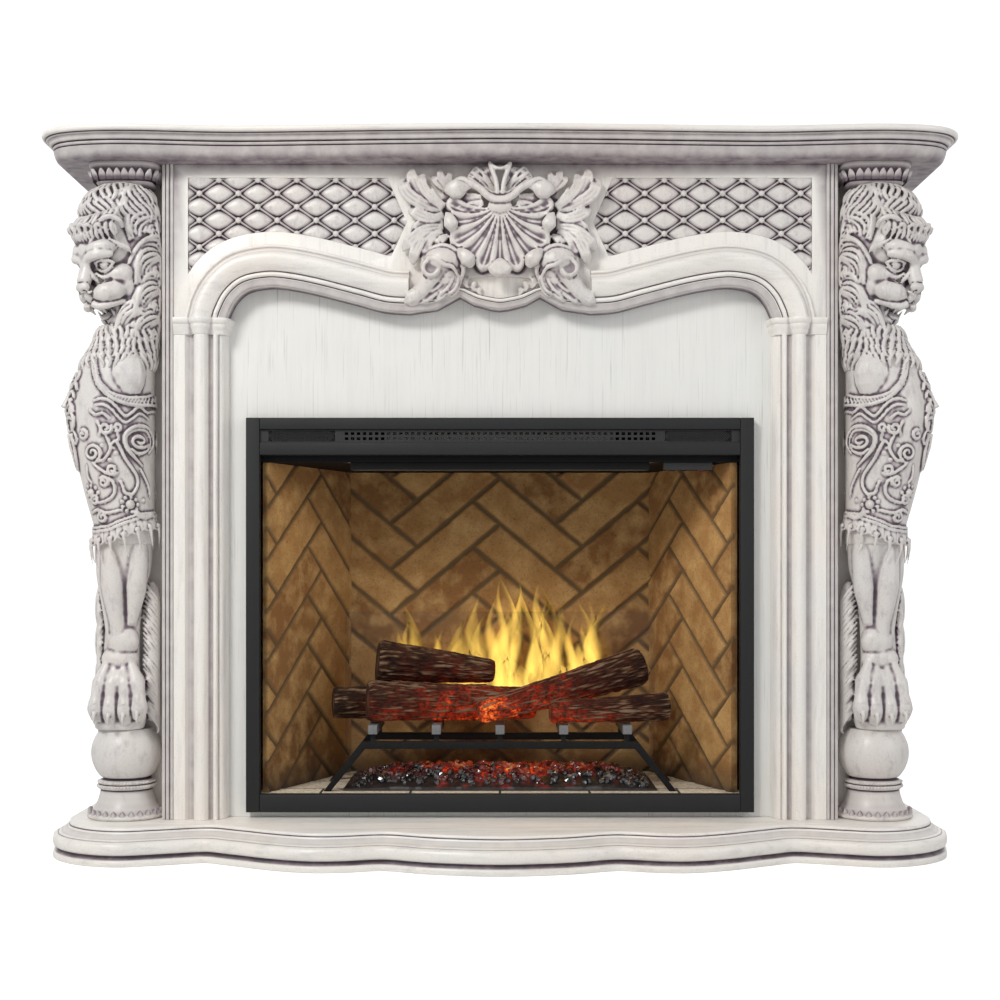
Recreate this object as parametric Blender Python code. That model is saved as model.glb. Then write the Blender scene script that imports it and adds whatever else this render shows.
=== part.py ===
"""Electric fireplace suite: a serpentine mantelpiece with lion terms round an electric firebox.

Metres, +Z up, +X to the viewer's right and +Y towards the wall. The origin is on the floor, under
the middle of the suite's width and depth.
"""

import math

import bmesh
import bpy
from mathutils import Vector

GAP = 0.0003  # between pieces that touch

# Mantelpiece, overall
HEIGHT = 1.187
SHELF_WIDTH = 1.514
SHELF_THICKNESS = 0.047
SHELF_REACH = 0.076  # lip ahead of the mantel's face, at the centre
PLINTH_WIDTH = 1.490
PLINTH_HEIGHT = 0.058
PLINTH_REACH = 0.183  # foot ahead of the mantel's face, at the centre
CARCASS_WIDTH = 1.310
CARCASS_DEPTH = 0.350  # from the mantel's face to the wall
BOARD = 0.018

# Mantelpiece, front
FACE_WIDTH = 1.116  # over the two stiles
STILE_WIDTH = 0.0195
WING_SETBACK = 0.055  # wing behind the lion, from the mantel's face
HEADER_THICKNESS = 0.030
PILASTER_WIDTH = 0.0872
PILASTER_CAP_HEIGHT = 0.0272
HEADER_HEIGHT = 0.2542  # from the spring of the arch, on the pilaster caps, to the shelf
ARCH_RISE = 0.0516
ARCH_WIDTH = 0.0687
CARTOUCHE_HALF = 0.150  # where the arch mouldings stop against the cartouche
CARTOUCHE_DEPTH = 0.040
LATTICE_THICKNESS = 0.012
LATTICE_SETBACK = 0.006
LATTICE_BAND = 0.0215  # flat band between the arch moulding and the lattice
LATTICE_END = 0.0232  # flat band between the stile and the lattice
LATTICE_HEADROOM = 0.0225  # flat band between the shelf and the lattice
VENEER_THICKNESS = 0.012
VENEER_LAP = 0.045  # panel hidden behind each pilaster
VENEER_RISE = 0.1142  # panel hidden behind the header, above the spring

# Lion terms
LION_X = 0.6255  # pedestal axis from the middle
LION_SETBACK = 0.0385  # pedestal axis behind the mantel's face
LION_WIDTH = 0.1525  # over the mane
PEDESTAL_HEIGHT = 0.1474
BALL_RADIUS = 0.0577

# Firebox
TRIM_WIDTH = 0.843
TRIM_BOTTOM = 0.068
TRIM_TOP = 0.7227
TRIM_BAR = 0.0225
TRIM_RAIL = 0.0194
TRIM_SILL = 0.0295  # height of the bottom rail
TRIM_DEPTH = 0.018
VENT_HEIGHT = 0.0219
VENT_RAIL_HEIGHT = 0.0206
GRILLE_THICKNESS = 0.002
CASING_WIDTH = 0.818
CASING_DEPTH = 0.3047
SHEET = 0.002
DECK_THICKNESS = 0.0117
CASING_TOP = 0.7125
FLOOR_HEIGHT = 0.0975
FLOOR_THICKNESS = 0.010
HOOD_HEIGHT = 0.650
HOOD_THICKNESS = 0.005
BRICK_THICKNESS = 0.012
BRICK_BACK_WIDTH = 0.5484
BRICK_FRONT_WIDTH = 0.772
BRICK_DEPTH = 0.300  # face of the back panel behind the mantel's face
SCREEN_SETBACK = 0.240
SCREEN_HEIGHT = 0.297
SCREEN_WIDTH = 0.560
SCREEN_THICKNESS = 0.004

# Grate, embers and logs
GRATE_WIDTH = 0.454
GRATE_FRONT = 0.042
GRATE_DEPTH = 0.166
GRATE_RAIL_HEIGHT = 0.0775  # middle of the lower rail above the hearth
GRATE_BAR_HEIGHT = 0.1042  # middle of the square bars above the hearth
GRATE_BAR = 0.015
GRATE_SPLAY = 0.064
GRATE_BARS = 5
GRATE_BAR_PITCH = 0.107
EMBER_WIDTH = 0.530
EMBER_DEPTH = 0.165
EMBER_SETBACK = 0.054
EMBER_HEIGHT = 0.040
EMBER_WALL = 0.004
EMBER_RIM = 0.014  # bed resting on the hearth round its window

# Heater
HEATER_WIDTH = 0.400
HEATER_DEPTH = 0.106
HEATER_WALL = 0.0015
BLOWER_RADIUS = 0.019
BLOWER_SHAFT = 0.003
BLOWER_BLADES = 12
RUNNING_CLEARANCE = 0.0004
MOTOR_LENGTH = 0.040
HEATER_FOLDS = 18
HEATER_STRIP = 0.0015
HEATER_FOLD_DEPTH = 0.012

# Flame drive
ROTOR_LENGTH = 0.320
ROTOR_RADIUS = 0.011
ROTOR_SHAFT = 0.002
ROTOR_SETBACK = 0.175
ROTOR_HEIGHT = 0.026  # axis above the cradle's foot
CRADLE_DEPTH = 0.060
CRADLE_WALL = 0.0015
FLICKER_MOTOR_RADIUS = 0.013
FLICKER_MOTOR_LENGTH = 0.028
LED_COUNT = 8
LED_BOARD_HEIGHT = 0.002

# Lights and controls under the hood
DOWNLIGHT_WIDTH = 0.500
DOWNLIGHT_SECTION = 0.012
DOWNLIGHT_DEPTH = 0.024
PANEL_WIDTH = 0.080
PANEL_DEPTH = 0.026
PANEL_X = 0.315
BUTTON_RADIUS = 0.005
BUTTON_HEIGHT = 0.009
BUTTON_TRAVEL = 0.0015
BUTTON_PROUD = 0.0015
BUTTON_HEADROOM = 0.003  # above a pressed button
BUTTON_PITCH = 0.018
ROCKER_LENGTH = 0.018
ROCKER_WIDTH = 0.010
GLAND_RADIUS = 0.011
GLAND_LENGTH = 0.0125
GLAND_X = 0.330
GLAND_HEIGHT = 0.130
CONTROL_BOARD_SIZE = 0.090
CONTROL_BOARD_HEIGHT = 0.018

DEPTH = PLINTH_REACH + CARCASS_DEPTH
FACE_Y = PLINTH_REACH - DEPTH / 2
WALL_Y = FACE_Y + CARCASS_DEPTH
BODY_BOTTOM = PLINTH_HEIGHT + GAP
SOFFIT = HEIGHT - SHELF_THICKNESS
BODY_TOP = SOFFIT - GAP
SPRING_HEIGHT = SOFFIT - HEADER_HEIGHT
VENEER_TOP = SPRING_HEIGHT + VENEER_RISE
HEADER_HALF = FACE_WIDTH / 2 - STILE_WIDTH - GAP
INNER_HALF = FACE_WIDTH / 2 - STILE_WIDTH - PILASTER_WIDTH
WING_Y = FACE_Y + WING_SETBACK
VENEER_Y = FACE_Y + HEADER_THICKNESS + GAP
CASING_HALF = CASING_WIDTH / 2
CASING_BACK_Y = VENEER_Y + CASING_DEPTH
CASING_BOTTOM = BODY_BOTTOM + DECK_THICKNESS + GAP
CASING_FLOOR = CASING_BOTTOM + SHEET
INNER_CASING_HALF = CASING_HALF - SHEET - GAP
TRIM_INNER_HALF = TRIM_WIDTH / 2 - TRIM_BAR
HOOD_TOP = HOOD_HEIGHT + HOOD_THICKNESS
PANEL_HEIGHT = BUTTON_HEIGHT - BUTTON_PROUD + BUTTON_TRAVEL + BUTTON_HEADROOM


def clear_scene():
    for old in list(bpy.data.objects):
        bpy.data.objects.remove(old, do_unlink=True)


def finish(name, colour, roughness, metallic=0.0):
    """A Principled material with one colour."""
    made = bpy.data.materials.new(name)
    made.use_nodes = True
    shader = made.node_tree.nodes["Principled BSDF"]
    shader.inputs["Base Color"].default_value = (*colour, 1.0)
    shader.inputs["Roughness"].default_value = roughness
    shader.inputs["Metallic"].default_value = metallic
    return made


def solid(name, points, faces, material, round_over=None):
    """One closed mesh object. round_over is the angle in degrees up to which edges shade smooth."""
    mesh = bpy.data.meshes.new(name)
    mesh.from_pydata(points, [], faces)
    form = bmesh.new()
    form.from_mesh(mesh)
    bmesh.ops.recalc_face_normals(form, faces=form.faces)
    form.to_mesh(mesh)
    form.free()
    mesh.materials.append(material)
    if round_over:
        mesh.shade_smooth()
        mesh.set_sharp_from_angle(angle=math.radians(round_over))
    made = bpy.data.objects.new(name, mesh)
    bpy.context.collection.objects.link(made)
    return made


def box(name, low, high, material):
    """A block between two corners."""
    (x0, y0, z0), (x1, y1, z1) = low, high
    outline = [(x0, y0), (x1, y0), (x1, y1), (x0, y1)]
    return prism(name, outline, "Z", z0, z1, material)


def prism(name, outline, along, start, end, material, round_over=None):
    """An outline extruded along an axis. The outline's pairs are the two other axes, in X, Y, Z order."""
    place = {
        "X": lambda a, b, s: (s, a, b),
        "Y": lambda a, b, s: (a, s, b),
        "Z": lambda a, b, s: (a, b, s),
    }[along]
    return loft(name, [[place(a, b, s) for a, b in outline] for s in (start, end)], material, round_over)


def loft(name, rings, material, round_over=None):
    """Rings with equal counts of points, skinned and closed with a face at each end."""
    count = len(rings[0])
    points = [point for ring in rings for point in ring]
    faces = [tuple(range(count))[::-1], tuple(range(len(points) - count, len(points)))]
    for level in range(len(rings) - 1):
        low, high = level * count, (level + 1) * count
        for i in range(count):
            j = (i + 1) % count
            faces.append((low + i, low + j, high + j, high + i))
    return solid(name, points, faces, material, round_over)


def circle(centre, radius, count):
    """Points round a circle, as pairs."""
    turns = [2 * math.pi * i / count for i in range(count)]
    return [(centre[0] + radius * math.cos(t), centre[1] + radius * math.sin(t)) for t in turns]


def cylinder(name, along, centre, radius, start, end, material, sides=16):
    return prism(name, circle(centre, radius, sides), along, start, end, material, 40)


def smooth(points, steps):
    """A Catmull-Rom curve through pairs, with this many steps between each two."""
    known = [Vector(p) for p in points]
    known = [known[0] * 2 - known[1]] + known + [known[-1] * 2 - known[-2]]
    curve = []
    for before, start, end, after in zip(known, known[1:], known[2:], known[3:]):
        for i in range(steps):
            t = i / steps
            curve.append(
                0.5
                * (
                    2 * start
                    + (end - before) * t
                    + (2 * before - 5 * start + 4 * end - after) * t * t
                    + (3 * start - before - 3 * end + after) * t**3
                )
            )
    return curve + [known[-2]]


def normals(curve):
    """The left-hand normal at each point of an open curve of pairs."""
    found = []
    for i in range(len(curve)):
        run = curve[min(i + 1, len(curve) - 1)] - curve[max(i - 1, 0)]
        found.append(Vector((-run.y, run.x)).normalized())
    return found


def grown(outline, distance):
    """A closed outline, given counter-clockwise, moved outwards by a distance."""
    moved = []
    for i, point in enumerate(outline):
        here = Vector(point)
        before = (here - Vector(outline[i - 1])).normalized()
        after = (Vector(outline[(i + 1) % len(outline)]) - here).normalized()
        out_before = Vector((before.y, -before.x))
        out_after = Vector((after.y, -after.x))
        mitre = out_before + out_after
        moved.append(tuple(here + mitre * (distance / max(1 + out_before.dot(out_after), 0.2))))
    return moved


def mirrored(outline, side):
    """An outline of pairs drawn for the right side, for side 1 or -1."""
    return [(side * x, z) for x, z in outline]


def cutter_of(made):
    made.hide_render = True
    made.display_type = "WIRE"
    return made


def cut(body, cutter):
    """Takes a cutter's shape out of a body."""
    change = body.modifiers.new("cut_" + cutter.name, "BOOLEAN")
    change.operation = "DIFFERENCE"
    change.object = cutter_of(cutter)


def fuse(body, piece):
    """Joins a piece into a body."""
    change = body.modifiers.new("join_" + piece.name, "BOOLEAN")
    change.operation = "UNION"
    change.object = cutter_of(piece)


def side_name(side):
    return "right" if side > 0 else "left"


# Right half of the serpentine fronts: share of the half width, share of the reach
PLINTH_FRONT = [
    (0.0, 1.0), (0.14, 0.90), (0.251, 0.718), (0.356, 0.816), (0.418, 0.816), (0.495, 0.684),
    (0.583, 0.458), (0.662, 0.297), (0.771, 0.440), (0.847, 0.532), (0.92, 0.426), (0.975, 0.165),
    (1.0, -0.20),
]
SHELF_FRONT = [
    (0.0, 1.0), (0.235, 0.90), (0.404, 0.77), (0.555, 0.67), (0.651, 0.70), (0.807, 0.90),
    (0.898, 0.87), (0.965, 0.62), (0.993, 0.20), (1.0, -0.30),
]
# Moulded edges: height, and overhang past the slimmest level
PLINTH_EDGE = [
    (0.0, 0.028), (0.0105, 0.028), (0.0135, 0.024), (0.0160, 0.0225), (0.0185, 0.0275),
    (0.0290, 0.0290), (0.0385, 0.0260), (0.0420, 0.0180), (0.0480, 0.0070), (0.0520, 0.0010),
    (0.058, 0.0),
]
SHELF_EDGE = [
    (0.0, 0.0), (0.0060, 0.0015), (0.0165, 0.0085), (0.0175, 0.0120), (0.0265, 0.0130),
    (0.0280, 0.0165), (0.0350, 0.0230), (0.0370, 0.0285), (0.0400, 0.0300), (0.0440, 0.0300),
    (0.0470, 0.0275),
]


def moulded_slab(name, front, edge, width, reach, bottom, height, material):
    """A slab with a serpentine moulded front and ends, and a flat back against the wall."""
    scale = height / edge[-1][0]
    overhang = max(out for _, out in edge) * scale
    half, ahead = width / 2 - overhang, reach - overhang
    right = [(half * x, FACE_Y - ahead * y) for x, y in front]
    left = [(-x, y) for x, y in right[:0:-1]]
    curve = smooth(left + right, 2)
    curve = [Vector((-half, WALL_Y))] + curve + [Vector((half, WALL_Y))]
    out = [-n for n in normals(curve)]
    out[0], out[-1] = Vector((-1, 0)), Vector((1, 0))
    rings = []
    for level, over in edge:
        rings.append([(*(p + n * over * scale), bottom + level * scale) for p, n in zip(curve, out)])
    return loft(name, rings, material, 35)


# Right half of the arch's lower edge: share of the inner half width, share of the rise
ARCH = [
    (1.0, 0.0), (0.971, 0.517), (0.9275, 0.864), (0.8646, 1.0), (0.8008, 1.0), (0.690, 0.831),
    (0.532, 0.481), (0.425, 0.236),
]
ARCH_END = 0.174
# From the arch's end to the middle: share of the cartouche's half width, share of the rise
CREST = [(0.691, 0.306), (0.441, 0.703), (0.286, 0.448), (0.093, 0.306), (0.0, 0.271)]
# Distance across the moulding from its inner edge, height off the face
ARCH_SECTION = [
    (0.0, 0.002), (0.0085, 0.0025), (0.0154, 0.0060), (0.0190, 0.0095), (0.0225, 0.0060),
    (0.0264, 0.0025), (0.0303, 0.0060), (0.0360, 0.0145), (0.0420, 0.0170), (0.0480, 0.0145),
    (0.0537, 0.0060), (0.0590, 0.0020), (0.0687, 0.0020),
]
PILASTER_SECTION = [
    (0.0, -0.026), (0.0030, -0.014), (0.0085, -0.004), (0.0154, 0.0), (0.0190, 0.0060),
    (0.0225, 0.0010), (0.0264, -0.001), (0.0303, 0.0030), (0.0360, 0.0115), (0.0420, 0.0140),
    (0.0480, 0.0115), (0.0537, 0.0030), (0.0590, -0.0020), (0.0694, 0.0), (0.0706, 0.0020),
    (0.0872, 0.0020),
]
# Share of the cap's height, reach past the pilaster as a share of it
PILASTER_CAP = [(0.0, 0.02), (0.22, 0.09), (0.34, 0.20), (0.62, 0.22), (0.80, 0.33), (1.0, 0.33)]


def arch_path():
    """The arch's lower edge on the right, from the spring to the cartouche, and its normals."""
    known = [(x * INNER_HALF, SPRING_HEIGHT + rise * ARCH_RISE) for x, rise in ARCH]
    known.append((CARTOUCHE_HALF + GAP, SPRING_HEIGHT + ARCH_END * ARCH_RISE))
    curve = smooth(known, 3)
    out = [-n for n in normals(curve)]
    out[0], out[-1] = Vector((1, 0)), Vector((0, 1))
    return curve, out


def crest():
    """The header's lower edge on the right, under the cartouche."""
    return [(x * CARTOUCHE_HALF, SPRING_HEIGHT + rise * ARCH_RISE) for x, rise in CREST]


def arch_moulding(side, material):
    curve, out = arch_path()
    scale = ARCH_WIDTH / ARCH_SECTION[-1][0]
    section = [(0.0, 0.0)] + [(s * scale, f * scale) for s, f in ARCH_SECTION] + [(ARCH_WIDTH, 0.0)]
    rings = []
    for point, normal in zip(curve, out):
        across = [(point + normal * s, f) for s, f in section]
        rings.append([(side * p.x, FACE_Y - GAP - f, p.y) for p, f in across])
    loft("arch_moulding_" + side_name(side), rings, material, 40)


def lattice_outline():
    """The right lattice panel, counter-clockwise seen from the front."""
    outer = HEADER_HALF - LATTICE_END
    top = BODY_TOP - LATTICE_HEADROOM
    inner = CARTOUCHE_HALF * 1.193
    bottom = []
    for point, normal in zip(*arch_path()):
        edge = point + normal * (ARCH_WIDTH + LATTICE_BAND)
        if inner + 0.004 < edge.x < outer - 0.004:
            bottom.append(tuple(edge))
    corner = (outer, bottom[0][1] - LATTICE_BAND * 0.56)
    end = bottom[-1][1]
    tip = [(inner, end), (CARTOUCHE_HALF * 1.025, end * 0.57 + top * 0.43), (CARTOUCHE_HALF * 1.24, top)]
    clockwise = [(outer, top), corner] + bottom + tip
    return clockwise[::-1]


def header_board(paint):
    """The arched board, with a window for each lattice panel."""
    curve, _ = arch_path()
    right = [(HEADER_HALF, BODY_TOP), (HEADER_HALF, SPRING_HEIGHT)] + [tuple(p) for p in curve]
    right += crest()
    left = [(-x, z) for x, z in right[-2::-1]]
    board = prism("header_board", right + left, "Y", FACE_Y, FACE_Y + HEADER_THICKNESS, paint)
    for side in (1, -1):
        window = mirrored(grown(lattice_outline(), GAP), side)
        name = "window_cutter_" + side_name(side)
        cut(board, prism(name, window, "Y", FACE_Y - 0.01, FACE_Y + HEADER_THICKNESS + 0.01, paint))
        front = FACE_Y + LATTICE_SETBACK
        panel = mirrored(lattice_outline(), side)
        prism("lattice_" + side_name(side), panel, "Y", front, front + LATTICE_THICKNESS, paint)


# Right half of the cartouche above the arch, from its centre: shares of its half width and of the
# header's height
CARTOUCHE = [
    (0.0, 0.370), (0.347, 0.370), (0.467, 0.315), (0.653, 0.354), (0.767, 0.315), (0.973, 0.346),
    (1.117, 0.250), (1.007, 0.094), (0.993, -0.063), (1.087, -0.181), (1.0, -0.283),
]
CARTOUCHE_DOME = [(1.0, 0.0), (1.0, 0.30), (0.94, 0.62), (0.78, 0.88), (0.55, 1.0), (0.25, 0.85)]


def cartouche(paint):
    """Shell, leaves and volutes as one domed relief on the header."""
    centre = BODY_TOP - CARTOUCHE[0][1] * HEADER_HEIGHT
    right = [(x * CARTOUCHE_HALF, centre + rise * HEADER_HEIGHT) for x, rise in CARTOUCHE]
    right.append((CARTOUCHE_HALF, SPRING_HEIGHT + ARCH_END * ARCH_RISE))
    right += crest()
    outline = right + [(-x, z) for x, z in right[-2:0:-1]]
    rings = []
    for share, rise in CARTOUCHE_DOME:
        y = FACE_Y - GAP - rise * CARTOUCHE_DEPTH
        rings.append([(x * share, y, centre + (z - centre) * share) for x, z in outline])
    loft("shell_cartouche", rings, paint, 50)


def pilaster(side, paint):
    scale = PILASTER_WIDTH / PILASTER_SECTION[-1][0]
    back, limit = FACE_Y + HEADER_THICKNESS, HEADER_HALF
    front = [(min(INNER_HALF + s * scale, limit), FACE_Y - f * scale) for s, f in PILASTER_SECTION]
    outline = [(INNER_HALF, back)] + front + [(limit, back)]
    cap_bottom = SPRING_HEIGHT - GAP - PILASTER_CAP_HEIGHT
    name = "pilaster_" + side_name(side)
    prism(name, mirrored(outline, side), "Z", BODY_BOTTOM, cap_bottom - GAP, paint, 30)
    roll = max(f for _, f in PILASTER_SECTION) * scale
    rings = []
    for share, proud in PILASTER_CAP:
        grow = proud * PILASTER_CAP_HEIGHT
        inner, front_y = INNER_HALF - grow, FACE_Y - roll - grow
        level = cap_bottom + share * PILASTER_CAP_HEIGHT
        plan = [(inner, front_y), (limit, front_y), (limit, back), (inner, back)]
        rings.append([(side * x, y, level) for x, y in plan])
    loft("pilaster_cap_" + side_name(side), rings, paint)


def carcass_side(side, paint):
    """Side board, wing face and front stile as one moulded corner."""
    outer, stile = CARCASS_WIDTH / 2, FACE_WIDTH / 2
    inner = stile - STILE_WIDTH
    plan = [
        (inner, FACE_Y), (stile, FACE_Y), (stile, WING_Y), (outer, WING_Y), (outer, WALL_Y),
        (outer - BOARD, WALL_Y), (outer - BOARD, WING_Y + BOARD), (inner, WING_Y + BOARD),
    ]
    prism("carcass_side_" + side_name(side), mirrored(plan, side), "Z", BODY_BOTTOM, BODY_TOP, paint)


# Lion: height above the floor, outer and inner edge from the pedestal's axis, front from the face.
# The top three levels are the capital.
LION = [
    (0.2057, 0.0545, -0.0315, 0.018), (0.2240, 0.0645, -0.0355, 0.024),
    (0.2520, 0.0555, -0.0335, 0.020), (0.2950, 0.0385, -0.0295, 0.002),
    (0.3300, 0.0475, -0.0275, 0.002), (0.3890, 0.0435, -0.0275, 0.004),
    (0.4350, 0.0465, -0.0375, 0.010), (0.4700, 0.0495, -0.0455, 0.016),
    (0.5100, 0.0515, -0.0495, 0.026), (0.5390, 0.0535, -0.0515, 0.032),
    (0.5780, 0.0645, -0.0515, 0.036), (0.6150, 0.0745, -0.0525, 0.040),
    (0.6560, 0.0835, -0.0535, 0.044), (0.7000, 0.0925, -0.0535, 0.046),
    (0.7440, 0.0990, -0.0535, 0.044), (0.7900, 0.0915, -0.0515, 0.042),
    (0.8200, 0.0745, -0.0495, 0.040), (0.8470, 0.0535, -0.0485, 0.030),
    (0.8760, 0.0445, -0.0495, 0.020), (0.9040, 0.0595, -0.0515, 0.026),
    (0.9300, 0.0765, -0.0525, 0.036), (0.9540, 0.0825, -0.0525, 0.042),
    (0.9940, 0.0905, -0.0525, 0.040), (1.0280, 0.0865, -0.0525, 0.036),
    (1.0520, 0.0925, -0.0515, 0.036), (1.0780, 0.0875, -0.0485, 0.032),
    (1.1000, 0.0745, -0.0435, 0.022), (1.1150, 0.0505, -0.0335, 0.008),
    (1.1190, 0.0565, -0.0415, 0.016), (1.1290, 0.0685, -0.0525, 0.028),
    (1.1397, 0.0745, -0.0595, 0.034),
]
# Raised forms on it: height, reach up and down, bearing from outwards to forwards, width, rise
LION_FORMS = [
    (0.952, 0.026, 48, 30, 0.017),  # muzzle
    (0.905, 0.014, 50, 26, 0.010),  # lower jaw and beard
    (0.985, 0.030, 95, 24, 0.008),  # cheek
    (0.800, 0.034, 105, 34, 0.012),  # shoulder
    (0.650, 0.040, 60, 34, 0.007),  # chest
    (0.560, 0.020, 55, 40, 0.010),  # boss on the skirt
    (0.224, 0.020, 62, 40, 0.010),  # toes
    (0.430, 0.050, 75, 30, 0.006),  # thigh
]
LION_SIDES = 20


def lion(side, paint):
    """The lion term with its capital, half engaged in the wing behind it."""
    back_limit = WING_Y - GAP
    foot, top = LION[0][0], LION[-1][0]
    low, high = BODY_BOTTOM + PEDESTAL_HEIGHT + GAP, BODY_TOP
    scale = LION_WIDTH / max(outer - inner for _, outer, inner, _ in LION)
    rings = []
    for height, outer, inner, ahead in LION:
        middle_x, reach_x = LION_X + (outer + inner) / 2 * scale, (outer - inner) / 2 * scale
        front_y = FACE_Y - ahead * scale
        middle_y = (front_y + back_limit) / 2 + 0.006 * scale
        reach_y = middle_y - front_y
        ring = []
        for i in range(LION_SIDES):
            turn = 2 * math.pi * (i + 0.5) / LION_SIDES
            swell = 0.0
            for level, tall, bearing, wide, rise in LION_FORMS:
                off = (math.degrees(turn) - bearing + 180) % 360 - 180
                swell += scale * rise * math.exp(-(((height - level) / tall) ** 2) - (off / wide) ** 2)
            x = middle_x + (reach_x + swell) * math.cos(turn)
            y = min(middle_y - (reach_y + swell) * math.sin(turn), back_limit)
            ring.append((side * x, y, low + (height - foot) / (top - foot) * (high - low)))
        rings.append(ring)
    loft("lion_" + side_name(side), rings, paint, 60)


# Turned pedestal: share of its height, share of the ball's radius
PEDESTAL = [
    (0.0, 1.10), (0.03, 1.13), (0.08, 1.13), (0.10, 0.98), (0.19, 0.84), (0.30, 0.72), (0.335, 0.71),
    (0.345, 0.83), (0.385, 0.86), (0.425, 0.83), (0.435, 0.60), (0.50, 0.80), (0.58, 0.93),
    (0.68, 1.0), (0.77, 1.0), (0.87, 0.95), (0.95, 0.85), (1.0, 0.72),
]


def ball_pedestal(side, paint):
    centre = (side * LION_X, FACE_Y + LION_SETBACK)
    limit = WING_Y - GAP
    rings = []
    for share, radius in PEDESTAL:
        level = BODY_BOTTOM + share * PEDESTAL_HEIGHT
        plan = circle(centre, radius * BALL_RADIUS, 20)
        rings.append([(x, min(y, limit), level) for x, y in plan])
    loft("ball_pedestal_" + side_name(side), rings, paint, 40)


def veneer_panel(paint):
    """The recessed panel, with its cut-out for the firebox."""
    half = INNER_HALF + VENEER_LAP
    low, high = (-half, VENEER_Y, BODY_BOTTOM), (half, VENEER_Y + VENEER_THICKNESS, VENEER_TOP)
    panel = box("veneer_panel", low, high, paint)
    opening = CASING_HALF + GAP
    low = (-opening, VENEER_Y - 0.01, CASING_BOTTOM - GAP)
    high = (opening, VENEER_Y + VENEER_THICKNESS + 0.01, CASING_TOP + GAP)
    cut(panel, box("firebox_cutter", low, high, paint))


def mantelpiece():
    paint = finish("antique_white", (0.84, 0.82, 0.79), 0.45)
    resin = finish("carved_resin", (0.83, 0.80, 0.79), 0.50)
    board = finish("raw_board", (0.62, 0.50, 0.36), 0.75)
    moulded_slab("plinth", PLINTH_FRONT, PLINTH_EDGE, PLINTH_WIDTH, PLINTH_REACH, 0, PLINTH_HEIGHT, paint)
    moulded_slab(
        "shelf", SHELF_FRONT, SHELF_EDGE, SHELF_WIDTH, SHELF_REACH, SOFFIT, SHELF_THICKNESS, paint
    )
    header_board(paint)
    cartouche(resin)
    veneer_panel(paint)
    for side in (1, -1):
        carcass_side(side, paint)
        pilaster(side, paint)
        arch_moulding(side, paint)
        lion(side, resin)
        ball_pedestal(side, resin)
    inner = CARCASS_WIDTH / 2 - BOARD - GAP
    rail_height = SOFFIT - VENEER_TOP - 0.04
    box("back_rail", (-inner, WALL_Y - BOARD, BODY_TOP - rail_height), (inner, WALL_Y, BODY_TOP), board)
    half = CASING_HALF + 0.04
    deck_y = VENEER_Y + VENEER_THICKNESS + GAP
    deck_top = BODY_BOTTOM + DECK_THICKNESS
    box("firebox_deck", (-half, deck_y, BODY_BOTTOM), (half, CASING_BACK_Y + 0.005, deck_top), board)


def slotted_plate(name, x_range, z_range, slots, y, thickness, material):
    """A plate facing the front, with slots given as (low x, high x, low z, high z)."""
    xs = sorted({*x_range, *(v for s in slots for v in s[:2])})
    zs = sorted({*z_range, *(v for s in slots for v in s[2:])})

    def is_open(i, j):
        if not (0 <= i < len(xs) - 1 and 0 <= j < len(zs) - 1):
            return True
        x, z = (xs[i] + xs[i + 1]) / 2, (zs[j] + zs[j + 1]) / 2
        return any(a < x < b and c < z < d for a, b, c, d in slots)

    columns, layer = len(zs), len(xs) * len(zs)
    points = [(x, level, z) for level in (y, y + thickness) for x in xs for z in zs]
    faces = []
    for i in range(len(xs) - 1):
        for j in range(len(zs) - 1):
            if is_open(i, j):
                continue
            a, b = i * columns + j, (i + 1) * columns + j
            corners = [(a, b), (b, b + 1), (b + 1, a + 1), (a + 1, a)]
            faces.append((a, b, b + 1, a + 1))
            faces.append((layer + a + 1, layer + b + 1, layer + b, layer + a))
            beside = [(i, j - 1), (i + 1, j), (i, j + 1), (i - 1, j)]
            for (start, end), cell in zip(corners, beside):
                if is_open(*cell):
                    faces.append((start, layer + start, layer + end, end))
    plate = solid(name, points, faces, material)
    tidy = bmesh.new()
    tidy.from_mesh(plate.data)
    bmesh.ops.delete(tidy, geom=[v for v in tidy.verts if not v.link_faces], context="VERTS")
    tidy.to_mesh(plate.data)
    tidy.free()
    return plate


def trim_frame(black):
    """The frame of separate bars that laps over the panel, with the vent in it."""
    front = VENEER_Y - GAP - TRIM_DEPTH
    back = VENEER_Y - GAP
    half, inner = TRIM_WIDTH / 2, TRIM_INNER_HALF
    for side in (1, -1):
        ends = sorted((side * inner, side * half))
        name = "trim_stile_" + side_name(side)
        box(name, (ends[0], front, TRIM_BOTTOM), (ends[1], back, TRIM_TOP), black)
    span = inner - GAP
    vent_top = TRIM_TOP - TRIM_RAIL
    vent_bottom = vent_top - VENT_HEIGHT
    box("trim_rail_top", (-span, front, vent_top), (span, back, TRIM_TOP), black)
    box("trim_rail_bottom", (-span, front, TRIM_BOTTOM), (span, back, TRIM_BOTTOM + TRIM_SILL), black)
    box("vent_rail", (-span, front, vent_bottom - VENT_RAIL_HEIGHT), (span, back, vent_bottom), black)
    low, high = vent_bottom + GAP, vent_top - GAP
    outlet = HEATER_WIDTH / 2 + 0.03
    count = 12
    pitch = 2 * outlet / count
    slots = []
    for row in (0.20, 0.60):
        z = low + row * (high - low)
        for i in range(count):
            x = -outlet + i * pitch
            slots.append((x + 0.002, x + pitch - 0.002, z, z + 0.0045))
    grille_y = front + 0.005
    slotted_plate("vent_grille", (-span, span), (low, high), slots, grille_y, GRILLE_THICKNESS, black)


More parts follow.
